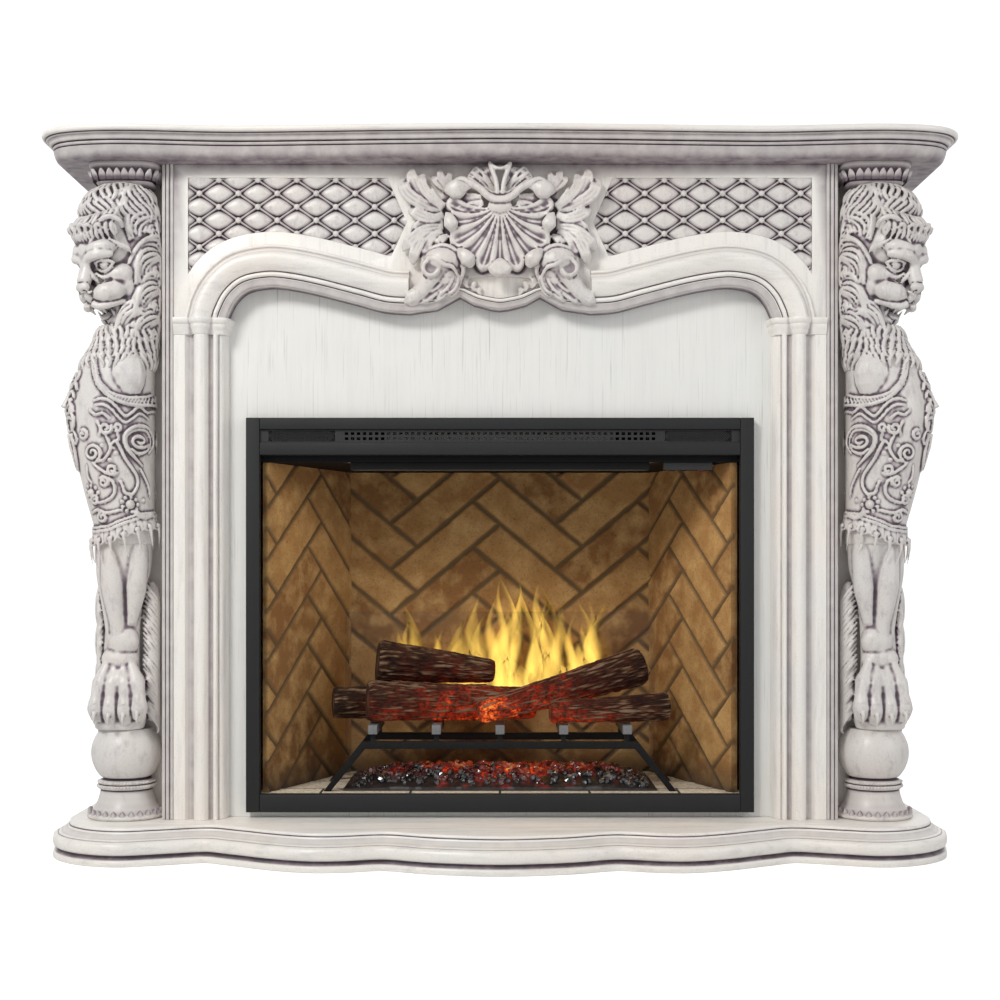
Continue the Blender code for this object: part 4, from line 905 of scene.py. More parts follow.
# Painted shade: the moulded edge darkens from the top down, most on the fascia and underside below the lip.
level = (points_of(shelf)[:, 2] - shelf_low.z) / (shelf_high.z - shelf_low.z)
shade_by_level = np.interp(level, (0, 0.02, 0.20, 0.36, 0.40, 0.54, 0.60, 0.76, 0.80, 1),
                   (0.50, 0.46, 0.34, 0.34, 0.36, 0.32, 0.22, 0.20, 0.03, 0.03))
set_marks(shelf, "hollow", np.maximum(marks_of(shelf, "hollow"), shade_by_level))
seat(shelf, "suite", "antique_white", "shelf")

# Ball pedestals: turned resin feet for the lions, each a ball on a bell with a double row of beads
# round its neck and a ring of small leaves at its foot. The wing behind cuts them off flat.
axis_x, axis_depth = 0.6255, 38.5
axis_y = face_y + axis_depth / 1000
ball_radius, ball_height = 57.7, 166.0
TURNED = [(58.3, 61.0), (61.0, 64.2), (64.5, 63.6), (68.0, 59.0), (73.0, 54.5), (81.0, 49.5), (91.0, 45.5),
          (101.0, 43.0), (106.5, 42.4)]
NECK = [(106.8, 45.4), (108.6, 46.2), (113.4, 46.2), (113.8, 44.4), (115.0, 44.2), (115.4, 45.6),
        (120.0, 45.6), (121.0, 43.0), (122.4, 38.6), (124.4, 37.4), (125.6, 39.6)]
arc = np.radians(np.linspace(-43.5, 43.4, 26))
upper = np.column_stack([ball_height + ball_radius * np.sin(arc), ball_radius * np.cos(arc)])
turned_profile = np.vstack([through(TURNED, 6), NECK, upper])
turned_glaze = np.clip(hollows(turned_profile, 4.0, 2.2), 0, 1)


def to_suite(points, side):
    """Lion space to the suite's: outward from the pedestal's axis, ahead of the face, and height, in mm."""
    points = np.asarray(points, float) / 1000
    return np.column_stack([side * (axis_x + points[:, 0]), face_y - points[:, 1], points[:, 2]])


wall_gap = 0.0004


def before(points, wall=wing_y):
    """Points kept just ahead of the wall that a carving is fixed to."""
    points[:, 1] = np.minimum(points[:, 1], wall - wall_gap)
    return points


set_out, given, set_out_labels = pattern(
    "set_out", ("Shape", "NodeSocketObject"), ("Finish", "NodeSocketMaterial"), ("Wobble", "NodeSocketFloat"),
    ("Seed", "NodeSocketInt"))
tree = set_out
shape = put(tree, "GeometryNodeObjectInfo", {"Object": given.outputs["Shape"]})
turn = put(tree, "GeometryNodeInputNamedAttribute", {"Name": "turn"}, data_type="FLOAT_VECTOR")
facing = put(tree, "FunctionNodeEulerToRotation", {0: turn.outputs["Attribute"]})
shaken = put(tree, "FunctionNodeRandomValue", {0: (-1.0, -1.0, -1.0), 1: (1.0, 1.0, 1.0),
             "Seed": given.outputs["Seed"]}, data_type="FLOAT_VECTOR")
scaled = put(tree, "ShaderNodeVectorMath", {0: shaken.outputs[0], "Scale": given.outputs["Wobble"]},
             operation="SCALE")
small_turn = put(tree, "FunctionNodeEulerToRotation", {0: scaled.outputs[0]})
turned = put(tree, "FunctionNodeRotateRotation", {0: facing.outputs[0], 1: small_turn.outputs[0]},
             rotation_space="LOCAL")
size = put(tree, "GeometryNodeInputNamedAttribute", {"Name": "size"}, data_type="FLOAT")
copies = put(tree, "GeometryNodeInstanceOnPoints", {
    "Points": given.outputs["Geometry"], "Instance": shape.outputs["Geometry"], "Rotation": turned.outputs[0],
    "Scale": size.outputs["Attribute"]})
realised(tree, given, copies)


def facing_turns(aims):
    """Euler angles that point a shape's +Z along each aim, with its +Y as near upright as can be."""
    turns = []
    for aim in aims:
        z = Vector(aim).normalized()
        x = Vector((0, 0, 1)).cross(z)
        x = x.normalized() if x.length > 1e-4 else z.orthogonal().normalized()
        y = z.cross(x)
        turns.append(Matrix((x, y, z)).transposed().to_euler())
    return np.array(turns)


def scatter(name, shape, places, aims, finish, sizes=1.0, wobble=0.0, seed=1):
    """Copies of a small shape, its +Z along each aim, as one plain mesh. The shape is used up."""
    base = bpy.data.meshes.new(name)
    base.from_pydata(np.asarray(places, float).tolist(), [], [])
    base.attributes.new("turn", "FLOAT_VECTOR", "POINT").data.foreach_set(
        "vector", facing_turns(aims).astype(np.float32).ravel())
    base.attributes.new("size", "FLOAT", "POINT").data.foreach_set(
        "value", np.broadcast_to(np.asarray(sizes, np.float32), len(places)).copy())
    grown = grow(name, base, set_out, set_out_labels, {
        "Shape": shape, "Finish": finish, "Wobble": wobble, "Seed": seed})
    bpy.data.objects.remove(shape, do_unlink=True)
    return grown


def move_points(piece, points):
    """Puts a piece's points in other places."""
    piece.data.vertices.foreach_set("co", np.asarray(points, np.float32).ravel())


def round_axis(radius, bearing, level):
    """Places round the pedestal's upright axis, in lion space."""
    return np.stack([radius * np.cos(bearing), radius * np.sin(bearing) - axis_depth,
                     np.full(len(bearing), level)], 1)


sides = 96
rings = np.vstack([round_axis(r, circle(sides), z) for z, r in turned_profile])
leaf_arc = np.linspace(0, np.pi, 7)
leaf_rows = [(0.0, 5.0, 0.0), (3.5, 6.4, 2.6), (8.0, 5.6, 3.6), (12.0, 3.4, 4.4), (14.6, 0.8, 4.4)]
leaf_points = np.array([(half * np.cos(a), rise, (out + 0.9 * abs(math.sin(3 * a))) * math.sin(a) + 0.2)
                        for rise, half, out in leaf_rows for a in leaf_arc])
bead_count, leaf_count = 54, 26
leaf_rim = [0, 7, 14, 21, 28, 34, 27, 20, 13, 6]
leaf_faces = grid_faces(5, 7, False) + [list(range(7)), list(range(28, 35)), leaf_rim]
for side, hand in HANDS:
    foot = made("turned_pedestal_" + hand, before(to_suite(rings, side)), capped(len(turned_profile), sides),
                resin_paint, 40, {"hollow": np.repeat(turned_glaze, sides)})
    seat(foot, "suite", "carved_resin", "ball_pedestal_" + hand)
    for label, radius, level, size in (("lower_beads", 46.4, 111.0, 2.6), ("upper_beads", 45.8, 117.8, 2.2)):
        bead = helper("bead", *ball((0, 0, 0), (size / 1000,) * 3, 6, 8), resin_paint)
        places = round_axis(radius, np.radians(np.arange(bead_count) * 360 / bead_count), level)
        places = to_suite(places[places[:, 1] > -53.0], side)
        row = scatter(f"{label}_{hand}", bead, places, [(0, 0, 1)] * len(places), resin_paint)
        set_marks(row, "hollow", np.zeros(len(row.data.vertices)))
        seat(row, "suite", "carved_resin")
    leaf = helper("leaf", leaf_points / 1000, leaf_faces, resin_paint)
    bearing = np.radians(np.arange(leaf_count) * 360 / leaf_count)
    aims = np.column_stack([side * np.cos(bearing), -np.sin(bearing), np.full(leaf_count, 0.35)])
    places = round_axis(61.5, bearing, 59.6)
    seen = places[:, 1] > -50.0
    row = scatter("foot_leaves_" + hand, leaf, to_suite(places[seen], side), aims[seen], resin_paint)
    spots = points_of(row)
    reach = np.hypot(np.abs(spots[:, 0]) - axis_x, spots[:, 1] - axis_y) * 1000
    set_marks(row, "hollow", 0.34 * np.clip((64.5 - reach) / 4.0, 0, 1))
    move_points(row, before(spots))
    seat(row, "suite", "carved_resin")

# Lions: cast resin terms, half engaged in the wings. A maned head looks down and outwards over a
# chest in embossed armour, and one leg stands with its paw on the ball. The two mirror each other.
# Rows of the body: height, outward edge, inward edge, how far the front lies ahead of the face
BODY = [
    (206, 50, -36, 14), (226, 52, -40, 18), (255, 45, -36, 14), (296, 28, -30, 2), (329, 36, -29, 4),
    (390, 33, -31, 4), (440, 37, -40, 10), (473, 42, -48, 16), (512, 44, -50, 24), (538, 47, -50, 30),
    (577, 58, -50, 35), (615, 68, -50, 39), (654, 77, -50, 43), (700, 86, -50, 45), (742, 90, -50, 44),
    (786, 80, -50, 40), (815, 64, -50, 36), (843, 46, -52, 30), (870, 38, -56, 28),
]
MANE = [
    (820, 40, -50, 26), (850, 36, -54, 28), (880, 26, -58, 30), (915, 18, -60, 31), (950, 16, -61, 33),
    (985, 24, -61, 34), (1015, 42, -60, 34), (1045, 62, -57, 33), (1070, 67, -52, 31), (1090, 52, -46, 24),
    (1108, 30, -36, 12),
]
core_depth = -20


def at_height(rows, z):
    """Centre and half width outward, and half depth, of a body at a height."""
    table = np.array(rows, float)
    outer, inner, front = (np.interp(z, table[:, 0], table[:, k]) for k in (1, 2, 3))
    return (outer + inner) / 2, (outer - inner) / 2, front - core_depth


def skin(rows, bearing, z, rise=0.0):
    """A place on a body by its bearing in degrees, from outward round to ahead and inward."""
    middle, half, deep = at_height(rows, z)
    turn = np.radians(bearing)
    ahead = core_depth + (deep + rise) * np.sin(turn)
    return np.stack([middle + (half + rise) * np.cos(turn), ahead, z + 0 * turn], -1)


def bearing_of(rows, u, z):
    """The bearing of a place on the front of a body, from its distance outward."""
    middle, half, _ = at_height(rows, z)
    return np.degrees(np.arccos(np.clip((u - middle) / half, -1, 1)))


def core(rows, shrink=0.0):
    """The plain body inside the carving."""
    bearings = np.linspace(0, 360, 48, endpoint=False)
    levels = evened(through(rows, 4), 5.0)
    rings = [skin(levels, bearings, level, -shrink) for level in levels[:, 0]]
    return np.vstack(rings), capped(len(rings), len(bearings))


def strand(points, thick, thin=0.35, sides=6):
    """A tapering strand through a few places."""
    path = evened(through(points, 6), 2.6)
    share = np.linspace(0, 1, len(path))
    return tube(path, thick * (thin + (1 - thin) * np.sin(np.pi * (0.12 + 0.80 * share)) ** 0.7), sides)


def neighbours(mesh):
    """The pairs of points that share an edge."""
    ends = np.empty(len(mesh.edges) * 2, int)
    mesh.edges.foreach_get("vertices", ends)
    return ends.reshape(-1, 2).T


def relaxed(points, pairs, rounds):
    """Points drawn halfway towards the middle of their neighbours, a number of times."""
    a, b = pairs
    count = len(points)
    degree = np.maximum(np.bincount(a, minlength=count) + np.bincount(b, minlength=count), 1)[:, None]
    for _ in range(rounds):
        total = np.stack([np.bincount(a, points[b, k], count) + np.bincount(b, points[a, k], count)
                          for k in range(3)], 1)
        points = points + 0.5 * (total / degree - points)
    return points


def fused(forms, voxel):
    """One even skin over forms that run into each other, as (points, faces, pairs, normals)."""
    rough = made("fused", *gather(forms), resin_paint)
    fuse = rough.modifiers.new("fuse", "REMESH")
    fuse.mode, fuse.voxel_size, fuse.adaptivity = "VOXEL", voxel, 0.0
    whole = settle(rough)
    normals = np.empty(len(whole.data.vertices) * 3)
    whole.data.vertices.foreach_get("normal", normals)
    found = points_of(whole), faces_of(whole.data), neighbours(whole.data), normals.reshape(-1, 3)
    bpy.data.objects.remove(whole, do_unlink=True)
    return found


both_sides = [(side, "_" + hand) for side, hand in HANDS]


def carved(name, forms, voxel, smoothing, dents, glaze_and_shade_depth=0.9, space=to_suite, sides=both_sides,
           wall=wing_y):
    """Fuses forms into one skin, cuts dents into it, and makes a piece for each side before the wall."""
    points, faces, pairs, normals = fused(forms, voxel)
    points = relaxed(points, pairs, smoothing)
    for path, width, depth in dents:
        line = evened(path, width / 2)
        near = np.full(len(points), 1e9)
        for place in line:
            near = np.minimum(near, ((points - place) ** 2).sum(1))
        points = points - normals * (depth * np.exp(-near / width**2))[:, None]
    # The fine scale marks glaze in the crevices; the broad scale paints shade into broad hollows.
    hollow = np.zeros(len(points))
    for rounds, depth in ((5, 0.45), (22, 1.5)):
        spread = relaxed(points, pairs, rounds)
        hollow = np.maximum(hollow, ((spread - points) * normals).sum(1) / (depth * glaze_and_shade_depth))
    marks = {"hollow": np.clip(hollow, 0, 1)}
    return [made(name + ending, before(space(points, side), wall), faces, resin_paint, 80, marks)
            for side, ending in sides]


def melted(forms, voxel, rounds):
    """Soft forms flowed together into one, for finer carving on top."""
    points, faces, pairs, _ = fused(forms, voxel)
    return relaxed(points, pairs, rounds), faces


def dealt(radii, count):
    """A few radii dealt out evenly over a number of points."""
    return np.interp(np.linspace(0, 1, count), np.linspace(0, 1, len(radii)), radii)


def limb(path, radii):
    """A soft muscle along a few places."""
    curve = evened(through(path, 6), 4.0)
    return tube(curve, dealt(radii, len(curve)), 16)


# Leg and paw: long muscles over the bone, four toes with claws, and fur behind the heel
flesh = [core([row for row in BODY if row[0] < 560], 3.0),
         limb([(10, -4, 556), (13, 0, 500), (12, 1, 440), (6, -4, 378), (4, -5, 330)], (12, 19, 20, 14, 11)),
         limb([(-22, -4, 556), (-27, 0, 500), (-25, -1, 440), (-16, -6, 380)], (12, 17, 17, 8)),
         limb([(-7, -8, 545), (-8, -4, 480), (-6, -5, 425)], (9, 13, 8)),
         limb([(31, -14, 540), (31, -10, 470), (22, -10, 400), (18, -12, 340)], (9, 13, 11, 7)),
         ball((-2, -8, 352), (27, 18, 26)), ball((4, -10, 322), (32, 20, 22)),
         ball((3, -12, 262), (43, 22, 38)), ball((2, -8, 284), (41, 29, 30))]
TOES = ((37, 3), (14, 0), (-10, 1), (-33, 4))
for toe_u, rise in TOES:
    flesh.append(limb([(toe_u * 0.45 + 2, -4, 324), (toe_u * 0.72 + 1, 3, 298), (toe_u * 0.93, 11, 272),
                       (toe_u, 15, 250 + rise), (toe_u, 14, 234 + rise), (toe_u, 6, 220 + rise)],
                      (8, 10, 14.5, 10.5, 15, 9)))
leg = [melted(flesh, 2.2, 3)]
for toe_u, rise in TOES:
    claw = [(toe_u, 25, 236 + rise), (toe_u, 30, 229 + rise), (toe_u, 30, 220 + rise),
            (toe_u - 1, 26, 213 + rise)]
    leg.append(tube(through(claw, 4), np.linspace(4.4, 1.0, 13), 8))
    for fold in (-4, 1):
        leg.append(strand([(toe_u - 8, 23, 247 + rise + fold), (toe_u, 28.5, 249 + rise + fold * 1.6),
                           (toe_u + 8, 23, 247 + rise + fold)], 1.5))
for side, near, edge in ((-1, -30, -58), (1, 32, 44)):
    for top, foot in ((450, 372), (392, 318), (330, 262), (280, 226)):
        leg.append(ball(((near + edge) / 2, -33, (top + foot) / 2 - 4), (14, 13, (top - foot) / 2 + 6)))
        for k in range(7):
            z = top - (top - foot) * 0.70 * k / 6
            places = [(near + side, -24 + 3 * math.sin(k), z),
                      (near * 0.55 + edge * 0.45, -15 + 2 * math.sin(2 * k), z - 10),
                      (near * 0.15 + edge * 0.85, -18, z - 26), (edge - side, -25, z - 38),
                      (near * 0.2 + edge * 0.8, -27, z - 45)]
            leg.append(strand(places, 3.3, 0.3))
leg_dents = [([(1, 8, 530), (-4, 6, 460), (-5, 4, 400)], 6.0, 0.5),
             ([(25, 4, 520), (24, 2, 440), (17, 0, 380)], 6.0, 0.8),
             ([(34, 4, 336), (4, 14, 331), (-30, 6, 338)], 5.0, 1.2)]
leg_dents += [([(u, 24, 256), (u, 26, 244), (u, 20, 220)], 2.4, 0.6) for u in (25.5, 2, -21.5)]
for piece, hand in zip(carved("lion_leg", leg, 1.6, 2, leg_dents), ("left", "right")):
    seat(piece, "suite", "carved_resin", "lion_" + hand)

# Body: armour with a corded neck, scrolls, bosses and a leafy mask, over a hem of tabs and fangs
body = [core([row for row in BODY if row[0] > 500])]


def on_body(path, thick, rise=1.5, thin=0.5):
    """A raised line on the armour, once ahead and once round the outer flank."""
    curve = evened(through(path, 6), 2.4)
    share = np.linspace(0, 1, len(curve))
    radii = thick * (thin + (1 - thin) * np.clip(np.sin(np.pi * share) * 2.2, 0, 1))
    lines = [(bearing_of(BODY, u, z), z) for u, z in curve]
    for flip in (1, -1):
        body.append(tube([skin(BODY, flip * bearing, z, rise) for bearing, z in lines], radii, 8))


def scroll(u, z, size, turns, start, hand=1):
    """The places of a spiral that winds in to its middle."""
    share = np.linspace(0, 1, int(10 * turns) + 2)
    bearing = np.radians(start) + hand * 2 * np.pi * turns * share
    reach = size * (1 - 0.80 * share)
    return list(zip(u + reach * np.cos(bearing), z + reach * np.sin(bearing)))


collar = [(36, 812), (28, 779), (11, 758), (-5, 749), (-25, 745), (-44, 748), (-52, 753)]
for offset, thick in ((6, 2.3), (-6, 2.6)):
    on_body([(u + offset * 0.6, z + offset) for u, z in collar], thick, 2.5, 0.8)
for u, z in evened(through(collar, 6), 4.4):
    for flip in (1, -1):
        bearing = flip * bearing_of(BODY, u, z)
        body.append(tube([skin(BODY, bearing - 2.5, z - 4, 2.2), skin(BODY, bearing + 2.5, z + 4, 2.2)],
                         2.1, 6))
body.append(ball(skin(BODY, bearing_of(BODY, -20, 790), 790, -13), (33, 24, 43)))
body.append(ball(skin(BODY, -38, 792, -14), (30, 26, 44)))
on_body([(33, 745), (22, 748), (10, 746), (-2, 736), (-15, 721), (-25, 727), (-34, 737), (-44, 729),
         (-50, 733)], 2.2)
on_body([(30, 738), (18, 738), (6, 732), (-6, 718), (-16, 710), (-26, 717), (-36, 726), (-46, 718)], 1.5)
ring = [(-39, 640), (-29, 653), (-17, 670), (-15, 689), (-27, 703), (-42, 705), (-48, 693), (-49, 677),
        (-46, 662)]
on_body(ring, 2.8, 2.0)
on_body([(u * 0.86 - 5, 678 + (z - 678) * 0.78) for u, z in ring[1:]], 1.5)
on_body(scroll(-35, 681, 12, 1.4, 200), 2.6)
on_body([(-24, 668), (-33, 660), (-42, 664), (-47, 674)], 2.4)
on_body([(2, 667), (5, 673), (-2, 679), (-9, 667), (-15, 653), (-22, 641), (-31, 624), (-32, 608), (-25, 594),
         (-15, 596), (-12, 605), (-8, 615)], 2.6)
for u, z, size, turns, start, hand in (
        (36, 660, 15, 1.7, 250, -1), (4, 633, 9, 1.4, 210, 1), (18, 613, 9, 1.5, 40, 1),
        (22, 556, 9, 1.4, 90, -1), (14, 700, 10, 1.4, 150, 1), (-4, 702, 7, 1.2, 300, -1),
        (52, 690, 9, 1.4, 60, 1), (34, 584, 8, 1.3, 120, -1)):
    on_body(scroll(u, z, size, turns, start, hand), 2.5, 1.8)
for path in ([(36, 645), (28, 637), (14, 628), (4, 624)], [(-36, 636), (-44, 612), (-47, 590)],
             [(11, 621), (2, 610), (2, 593), (16, 582), (34, 579)], [(-4, 695), (-6, 682), (2, 679)],
             [(44, 563), (30, 568), (14, 563), (-10, 568)], [(28, 712), (22, 700), (24, 688)],
             [(14, 690), (6, 668), (16, 650), (30, 646)], [(48, 640), (46, 622), (40, 612)],
             [(40, 730), (30, 722), (18, 724), (8, 716)]):
    on_body(path, 2.2)
for u, z, size in ((-22, 577, 7.5), (41, 596, 7.0), (-40, 584, 3.0), (8, 649, 2.6), (-2, 660, 2.2),
                   (20, 672, 2.4)):
    for flip in (1, -1):
        bearing = flip * bearing_of(BODY, u, z)
        body.append(ball(skin(BODY, bearing, z, 0.5), (size, size, size)))
        for k in range(9 if size > 6 else 0):
            turn = k * 2 * math.pi / 9
            place = skin(BODY, bearing + 14 * math.cos(turn), z + 12 * math.sin(turn), 1.0)
            body.append(ball(place, (2.6, 2.6, 2.6), 6, 8))
on_body([(-26, 567), (-38, 556), (-50, 563)], 6.0, 0.5, 0.35)

# The mask on the chest: brows, a broad nose, a ring of teeth and a long leaf for a beard
mask_bearing = 26.0


def on_mask(across, z, rise):
    """A place on the mask by its distance from the mask's middle line."""
    return skin(BODY, mask_bearing + across / 1.15, z, rise)


for hand in (1, -1):
    for points, thick, rise in (
            ([(3, 768), (10, 776), (19, 774), (24, 764)], 3.4, 3.0),
            ([(2, 758), (9, 763), (17, 759), (21, 751)], 3.0, 3.5),
            ([(5, 738), (12, 742), (19, 737), (21, 728)], 3.4, 3.0),
            ([(4, 727), (13, 728), (20, 720), (19, 706), (11, 697)], 3.2, 3.6),
            ([(6, 790), (14, 796), (20, 788), (16, 781), (11, 785)], 2.6, 2.5),
            ([(16, 698), (21, 684), (14, 676), (10, 683)], 2.4, 2.5),
            ([(6, 694), (9, 672), (7, 650), (1, 634)], 3.0, 3.5)):
        body.append(strand([on_mask(hand * a, z, rise) for a, z in points], thick, 0.5, 8))
    body.append(ball(on_mask(hand * 10, 748, 1.5), (5.5, 5.5, 4.5)))
    body.append(ball(on_mask(hand * 15, 732, 0), (8, 8, 9)))
    for k in range(4):
        body.append(ball(on_mask(hand * (2.2 + 4.2 * k), 720 - 0.35 * k * k, 4.2), (2.0, 2.0, 3.4), 6, 8))
body.append(tube([on_mask(0, 766, 2), on_mask(0, 748, 5), on_mask(0, 736, 9)], [3.5, 4.5, 6.5], 10))
beard = [on_mask(0, z, rise) for z, rise in ((694, 3), (672, 4.5), (650, 3), (630, 1))]
body.append(tube(beard, [6, 5, 3.5, 1.5], 8))

hem_bearings = np.arange(-64, 180, 3)
hem = list(zip(hem_bearings, np.interp(hem_bearings, (-60, 40, 75, 105, 135, 180),
                                       (534, 531, 534, 545, 554, 558))))
for lift, thick in ((2, 2.6), (8, 1.6)):
    body.append(tube([skin(BODY, a, z + lift, 2.6) for a, z in hem], thick, 8))
for k, (bearing, z) in enumerate(hem[1::4]):
    for across in (-3.4, -1.1, 1.1, 3.4):
        foot = -21 if abs(across) < 2 else -18
        path = [skin(BODY, bearing + across * 1.1, z, 2.2), skin(BODY, bearing + across * 1.2, z - 10, 5.0),
                skin(BODY, bearing + across * 1.15, z + foot, 7.0)]
        body.append(tube(path, [2.0, 2.0, 1.5], 6))
    end = [skin(BODY, bearing + a, z - 21 + 0.5 * abs(a) ** 1.2, 7.4) for a in (-5, -2.5, 0, 2.5, 5)]
    body.append(tube(end, 1.3, 6))
    if k % 2:
        body.append(ball(skin(BODY, bearing + 6, z - 13, 8.5), (4.2, 4.2, 4.2)))
        fang = [skin(BODY, bearing + 6, z - 13, 9), skin(BODY, bearing + 7, z - 28, 10.5),
                skin(BODY, bearing + 10, z - 42, 9.5), skin(BODY, bearing + 15, z - 54, 8)]
        body.append(tube(through(fang, 4), np.linspace(3.2, 0.9, 13), 8))
for piece in carved("lion_body", body, 1.63, 1, (), 1.0):
    seat(piece, "suite", "carved_resin")

# Heads: a broad lion's face under a mane of combed locks, whose strands hook round at their ends.
# The face turns outward and down from the middle of the skull.
head_middle = np.array([9.5, -2.0, 984.0])
beside, ahead, above = np.array([[-0.766, 0.643, 0.0], [0.5567, 0.6634, -0.5], [0.3214, 0.383, 0.866]])


def on_head(r, f, u):
    """A place by how far it lies to the head's inward side, ahead, and above its middle."""
    return head_middle + r * beside + f * ahead + u * above


def lump(centre, radii):
    """An ellipsoid that lies square to the head."""
    points, faces = ball((0, 0, 0), radii, 14, 20)
    turned = points[:, :1] * beside + points[:, 1:2] * ahead + points[:, 2:] * above
    return turned + on_head(*centre), faces


def ridge_line(points, radii, sides=10):
    """A raised line on the head, with a few radii along it."""
    path = evened(through(points, 6), 2.4)
    return tube([on_head(*p) for p in path], dealt(radii, len(path)), sides)


face = [lump((0, 0, 18), (48, 44, 50)), lump((0, 28, 28), (37, 26, 30)), lump((0, 8, 52), (44, 36, 24)),
        lump((0, 20, -34), (34, 34, 30)), lump((0, 34, -58), (24, 28, 14)), lump((0, 46, 22), (17, 14, 26)),
        ridge_line([(0, 44, 34), (0, 56, 12), (0, 68, -2), (0, 80, -13)], [9, 11, 12, 12], 14),
        lump((0, 52, -90), (16, 14, 12)), ridge_line([(0, 70, -46), (0, 80, -38), (0, 84, -26)], [6, 7, 5])]
for hand in (1, -1):
    for points, radii in (
            ([(9, 76, -33), (16, 68, -36), (25, 58, -38), (33, 46, -40), (37, 34, -42)],
             [8, 17, 18.5, 17, 8]),
            ([(20, 48, -12), (32, 38, -17), (40, 24, -22), (42, 10, -30)], [5, 13, 17, 10]),
            ([(40, 28, -20), (40, 28, -38), (37, 29, -54), (32, 32, -70)], [6, 14, 13, 6]),
            ([(8, 50, 30), (18, 48, 34), (30, 38, 32), (42, 22, 24)], [6, 10, 12, 7]),
            ([(4, 57, 17), (15, 58, 22), (30, 51, 23), (45, 33, 15)], [6, 9, 8, 5]),
            ([(38, 38, -70), (32, 34, -82), (20, 42, -92)], [6, 8, 8])):
        face.append(ridge_line([(hand * r, f, u) for r, f, u in points], radii, 16))
head = [core(MANE), melted(face, 2.3, 7), lump((0, 83, -17), (15, 9, 9)), lump((0, 56, -76), (11, 20, 4.5))]
for hand in (1, -1):
    def line(points, radii, sides=10):
        """A raised line on this side of the face."""
        head.append(ridge_line([(hand * r, f, u) for r, f, u in points], radii, sides))

    head.append(lump((hand * 27, 43, 4), (10, 9.5, 8.5)))
    line([(12, 52, 3), (20, 53, 12), (31, 49, 13), (42, 38, 4)], [2.4, 3.2, 3.2, 2.2])
    line([(12, 51, 1), (21, 50, -5), (32, 46, -5), (43, 36, 3)], [2.2, 2.8, 2.8, 2.0])
    line([(10, 56, -4), (19, 53, -14), (31, 46, -15), (42, 35, -8)], [2.2, 3.4, 3.2, 2.0])
    line([(3, 58, 10), (8, 62, 2), (12, 64, -8), (16, 62, -18)], [3.2, 3.4, 3.6, 3.0])
    line([(4, 50, 34), (6, 46, 46), (13, 42, 56)], [3.0, 3.6, 2.0])
    line([(14, 50, 34), (20, 45, 45), (30, 36, 52)], [2.6, 3.4, 2.0])
    line([(7, 84, -46), (17, 80, -53), (29, 66, -56), (37, 48, -60), (38, 38, -72)], [6, 6.5, 6, 5, 4])
    line([(2, 66, -84), (13, 62, -83), (25, 50, -79), (33, 36, -74)], [5, 5.5, 5, 4])
    line([(15, 76, -52), (15, 74, -62), (14, 71, -70)], [3.8, 2.8, 0.9])
    line([(19, 58, -82), (18, 61, -72), (18, 63, -64)], [3.4, 2.6, 0.9])
    line([(7, 88, -22), (13, 86, -27), (16, 80, -26)], [2.2, 2.6, 2.0])
    line([(37, 20, 46), (34, 25, 58), (40, 24, 70), (52, 15, 71), (59, 6, 60), (55, 2, 47)],
         [4, 4.5, 4.5, 4.5, 4.5, 3.5])
    line([(47, 14, 62), (48, 12, 52), (47, 14, 42)], [5, 5, 3.5])
    for k in range(5):
        line([(41 + 3 * k, 26 - 3 * k, 40 - 4 * k), (46 + 3 * k, 22 - 3 * k, 31 - 4 * k),
              (45 + 3 * k, 22 - 3 * k, 20 - 4 * k)], [1.4, 2.6, 1.0], 6)
    for k in range(9):
        r, drop = 2 + 5.6 * k, 0.50 * k * k
        wave = 2.5 * math.sin(k * 2.2)
        line([(r, 49 - drop, 46 - 0.16 * k * k), (r + 1, 50 - drop, 56 + wave), (r + 3, 42 - drop, 67),
              (r + 4, 30 - drop, 74 + wave), (r + 2, 16 - drop * 0.8, 78), (r + 4, 4 - drop * 0.6, 76)],
             [1.4, 3.4, 4.0, 3.6, 3.4, 1.4], 6)
    for r, f, u, size in ((5, 44, 64, 0.9), (17, 41, 61, 0.85), (30, 32, 56, 0.75)):
        line([(r, f - 4, u - 8), (r + 1, f + 3 * size, u), (r + 5, f + 3 * size, u + 9),
              (r + 11, f + 2, u + 10), (r + 12, f, u + 2)], [2.0, 4.2, 4.2, 3.2, 1.2], 8)
    for k in range(5):
        line([(3 + 5 * k, 50 - 4 * k, -98), (4 + 6 * k, 44 - 5 * k, -110), (2 + 6 * k, 34 - 5 * k, -120)],
             [2.8, 3.0, 1.0], 6)


def lock(bearing, z, count, start, end, flank):
    """Strands combed round a hook: parallel arcs, drawn in on the side towards the wing."""
    for k in range(count):
        reach = 4.0 + 6.0 * k
        last = end + (start - end) * 0.05 * k
        arc = np.radians(np.linspace(start + 7 * math.sin(k * 1.9) + 3 * k, last + 9 * math.sin(k * 2.3), 14))
        swing = 1 + 0.07 * np.sin(3.0 * arc + k)
        across = reach * swing * np.cos(arc) * np.where(np.cos(arc) < 0, 1.0, 0.30)
        places = [skin(MANE, bearing + flank * a / 0.92, z + b, 2.2 + 2.2 * math.sin(i * 0.5 + k))
                  for i, (a, b) in enumerate(zip(across, reach * swing * np.sin(arc)))]
        head.append(strand(places, 3.8, 0.3))


